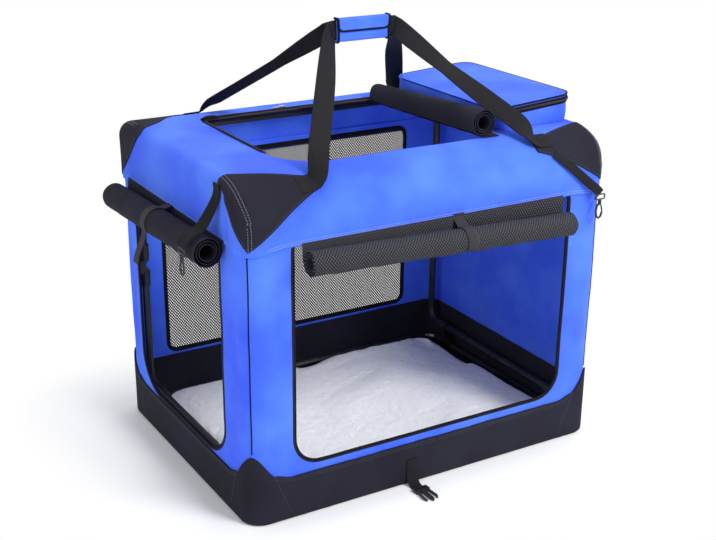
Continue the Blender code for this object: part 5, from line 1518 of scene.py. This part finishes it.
def make_hatch_zip():
    """Zip tape round the open hatch: half lies on the roof, half hangs in the opening."""
    outline = Track(rounded(HATCH, 0.0, 12), closed=True)
    points = []
    for i in range(400):
        here = outline.at(i / 400)
        if here.x < HATCH[2] - 0.030 and here.y > HATCH[1] + 0.095:
            points.append(here)
    gap = max(range(1, len(points)), key=lambda k: (points[k] - points[k - 1]).length)
    if (points[gap] - points[gap - 1]).length > 0.05:
        points = points[gap:] + points[:gap]
    line = Track(points)

    def place(u, v):
        here = line.at(u)
        ahead = line.heading(u)
        away = Vector((ahead.y, -ahead.x, 0))
        across = -0.004 + 0.009 * v
        wavy = 0.0022 * ripple(Vector((here.x, here.y, 0)), 22.0, 3.0) * (1 - v)
        spot = here + away * (across + wavy)
        height = roof_height(spot.y) + 0.0012
        droop = 0.004 * max(0.0, 0.55 - v) ** 2 * 4
        return Vector((spot.x, spot.y, height - droop + wavy * 0.6))

    shape = grid(190, 6, place, (line.length, 0.009))
    turn_out(shape, (0, 0, 0.5))
    tape = as_object("hatch_zip_tape", shape)
    thicken(tape, 0.0010, 0.0)
    dress(tape, "top", "black_cloth", TAPE)
    track = Track([place(i / 160, 0.06) + Vector((0, 0, 0.0004)) for i in range(161)])
    zip_coil("hatch_zip_coil", track, "top")
    # the tape's spare end, folded over at the far left corner
    corner = Vector((HATCH[0] + 0.012, HATCH[3] - 0.010, roof_height(HATCH[3] - 0.010) + 0.0035))
    fold = ribbon("hatch_tape_end", [(corner + Vector(shift), (0.3, 1, 0)) for shift in (
        (-0.012, -0.004, -0.001), (0.0, 0.0, 0.0016), (0.014, 0.001, 0.0012), (0.024, 0.0, -0.0012))],
                  0.013, 0.0030, 4, 6)
    dress(fold, "top", "black_cloth", TAPE)


def simulate(obj, pressure, cap):
    """Cloth with air pressure inside, the points' travel capped, and the result applied."""
    before = [v.co.copy() for v in obj.data.vertices]
    cloth_step = obj.modifiers.new("Cloth", "CLOTH")
    kit = cloth_step.settings
    kit.quality = 6
    kit.mass = 0.3
    kit.tension_stiffness = 15
    kit.compression_stiffness = 15
    kit.shear_stiffness = 5
    kit.bending_stiffness = 0.4
    kit.use_pressure = True
    kit.uniform_pressure_force = pressure
    kit.effector_weights.gravity = 0.0
    scene = bpy.context.scene
    for number in range(1, 21):
        scene.frame_set(number)
    graph = bpy.context.evaluated_depsgraph_get()
    after = bpy.data.meshes.new_from_object(obj.evaluated_get(graph))
    obj.modifiers.clear()
    for vert, start, end in zip(obj.data.vertices, before, after.vertices):
        move = end.co - start
        if move.length > cap:
            move *= cap / move.length
        vert.co = start + move
    scene.frame_set(1)


def make_mat():
    half = Vector((0.352, 0.254))
    corner = 0.060
    foot = 0.0048

    def place(u, v, low=False):
        a, b = 2 * u - 1, 2 * v - 1
        spot = Vector((abs(a) * half.x, abs(b) * half.y))
        straight = half - Vector((corner, corner))
        p = max(0.0, (spot.x - straight.x) / corner)
        q = max(0.0, (spot.y - straight.y) / corner)
        if p > 0 and q > 0:
            spot.x = straight.x + corner * p * math.sqrt(1 - q * q / 2)
            spot.y = straight.y + corner * q * math.sqrt(1 - p * p / 2)
        x = math.copysign(spot.x - 0.008 * (1 - b * b) * a * a, a)
        y = math.copysign(spot.y - 0.008 * (1 - a * a) * b * b, b)
        crown = 0.013 * (1 - a ** 4) * (1 - b ** 4)
        return Vector((x, y, foot + 0.026 + crown))

    shape = grid(88, 64, place, (0.704, 0.508))
    rim = [e for e in shape.edges if e.is_boundary]
    for drop, inset in ((0.006, -0.003), (0.016, -0.004), (0.010, 0.004)):
        made = bmesh.ops.extrude_edge_only(shape, edges=rim)
        rim = [g for g in made["geom"] if isinstance(g, bmesh.types.BMEdge) and g.is_boundary]
        for vert in {v for e in rim for v in e.verts}:
            vert.co.z = max(foot, vert.co.z - drop * 0.9)
            away = Vector((vert.co.x, vert.co.y, 0)).normalized()
            vert.co -= away * inset
    for vert in {v for e in rim for v in e.verts}:
        vert.co.z = foot
    bmesh.ops.contextual_create(shape, geom=rim)
    close_up(shape)
    for vert in shape.verts:
        if vert.co.z > foot + 0.02:
            vert.co.z += 0.0035 * ripple(vert.co, 9.0, 1.0)
    mat = as_object("fleece_mat", shape)
    simulate(mat, 2.5, 0.008)
    for vert in mat.data.vertices:
        vert.co.z = max(foot, vert.co.z)
        if vert.co.z > foot + 0.004:
            tuft = 0.0016 * ripple(vert.co, 70.0, 3.0) + 0.0012 * ripple(vert.co, 150.0, 5.0)
            vert.co += Vector((0, 0, 1)) * tuft
    # the many-sided underside is left out of the subdivision, which it would slow, and closed after it
    shape = bmesh.new()
    shape.from_mesh(mat.data)
    bmesh.ops.delete(shape, geom=[f for f in shape.faces if len(f.verts) > 4], context="FACES_ONLY")
    shape.to_mesh(mat.data)
    shape.free()
    soft = mat.modifiers.new("soft", "SUBSURF")
    soft.levels = soft.render_levels = 1
    settle(mat)
    shape = bmesh.new()
    shape.from_mesh(mat.data)
    bmesh.ops.contextual_create(shape, geom=[e for e in shape.edges if e.is_boundary])
    close_up(shape)
    shape.to_mesh(mat.data)
    shape.free()
    dress(mat, "base", "fleece", FLEECE, replaces=["floor_mat"], smooth=180)


def paint_nodes():
    """Materials for the rigid pieces that come straight from the frame."""
    for name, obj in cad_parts.items():
        if obj.hide_render:
            continue
        material = PLASTIC
        if name.endswith("_frame"):
            material = STEEL
        elif "slider" in name:
            material = ZINC
        obj.data.materials.clear()
        obj.data.materials.append(material)
        obj.data.shade_smooth()
        obj.data.set_sharp_from_angle(angle=math.radians(35))


# Room, light and camera

def seen_rays(paint):
    """1 where a surface is seen, straight or in a reflection, and 0 where it only sends light on."""
    made = paint.node("LightPath", {}, {}).socket.node
    camera, glossy, through = (Value(paint, made.outputs[f"Is {kind} Ray"])
                               for kind in ("Camera", "Glossy", "Transmission"))
    return paint.sum("MAXIMUM", paint.sum("MAXIMUM", camera, glossy), through)


def make_floor():
    """A pale floor that keeps the crate's soft shadow and turns into plain white further off."""
    shape = bmesh.new()
    bmesh.ops.create_grid(shape, x_segments=1, y_segments=1, size=6.0)
    floor = as_object("studio_floor", shape)
    paint = Paint("studio_floor_white", 0.9, 0.1)
    place = paint.place()
    x, y, _ = paint.parts(place)
    far_x = paint.sum("MAXIMUM", abs(x) - HALF_LENGTH, 0.0)
    far_y = paint.sum("MAXIMUM", abs(y) - HALF_WIDTH, 0.0)
    away = paint.sum("SQRT", far_x * far_x + far_y * far_y)
    fade = paint.ramp(away, 0.03, 0.26)
    paint.set(Base_Color=paint.mix(paint.noise(place, 3.0), tint("fafafa"), tint("ffffff")))
    white = paint.node("Emission", {}, {"Color": (1.0, 1.0, 1.0, 1.0), "Strength": 1.0})
    shader = Value(paint, paint.shader.outputs[0])
    mixed = paint.node("MixShader", {}, {0: fade * seen_rays(paint), 1: shader, 2: white})
    paint.put(paint.tree.nodes["Material Output"].inputs["Surface"], mixed)
    floor.data.materials.append(paint.material)


def make_world():
    """Even studio light from all round, white where it is seen."""
    world = bpy.data.worlds.new("studio")
    bpy.context.scene.world = world
    world.use_nodes = True
    paint = Paint.__new__(Paint)
    paint.tree = world.node_tree
    light = paint.node("Background", {}, {"Color": (0.92, 0.95, 1.0, 1.0), "Strength": WORLD_LIGHT})
    white = paint.node("Background", {}, {"Color": (1.0, 1.0, 1.0, 1.0), "Strength": 1.0})
    mixed = paint.node("MixShader", {}, {0: seen_rays(paint), 1: light, 2: white})
    paint.put(paint.tree.nodes["World Output"].inputs["Surface"], mixed)


def lamp(name, place, aim, size, power, colour=(1.0, 1.0, 1.0)):
    data = bpy.data.lights.new(name, "AREA")
    data.shape = "DISK"
    data.size = size
    data.energy = power
    data.color = colour
    obj = bpy.data.objects.new(name, data)
    bpy.context.scene.collection.objects.link(obj)
    obj.location = place
    obj.rotation_mode = "QUATERNION"
    obj.rotation_quaternion = (Vector(aim) - Vector(place)).to_track_quat("-Z", "Y")


def make_lights():
    lamp("key_light", (1.3, -2.9, 2.5), (0.0, 0.0, 0.35), 1.6, 118.0)
    lamp("top_light", (0.2, 0.4, 3.2), (0.0, 0.0, 0.4), 2.2, 30.0)
    lamp("left_fill", (-3.2, -1.0, 1.4), (0.0, 0.0, 0.3), 2.0, 26.0)


def make_camera():
    azimuth, elevation, roll = math.radians(-30.75), math.radians(21.44), 0.00705
    back = Vector((math.sin(azimuth) * math.cos(elevation), -math.cos(azimuth) * math.cos(elevation),
                   math.sin(elevation)))
    data = bpy.data.cameras.new("camera")
    data.lens = 63.02
    data.sensor_width = 36.0
    data.shift_x = 0.0012
    data.shift_y = 0.0281
    camera = bpy.data.objects.new("camera", data)
    bpy.context.scene.collection.objects.link(camera)
    camera.location = Vector((0, 0, 0.3)) + back * 2.645
    camera.rotation_mode = "QUATERNION"
    turn = (-back).to_track_quat("-Z", "Y") @ Matrix.Rotation(roll, 3, "Z").to_quaternion()
    camera.rotation_quaternion = turn
    bpy.context.scene.camera = camera


make_camera()
make_tray()
make_lining()
make_walls()
make_corner_seams()
make_bindings()
make_net()
make_roof()
make_patches()
make_rolls()
make_ties()
make_handle()
make_hook_straps()
make_closing_straps()
make_pocket()
make_hatch_zip()
make_mat()
paint_nodes()
make_floor()
make_world()
make_lights()
bpy.context.scene.view_settings.view_transform = "Standard"
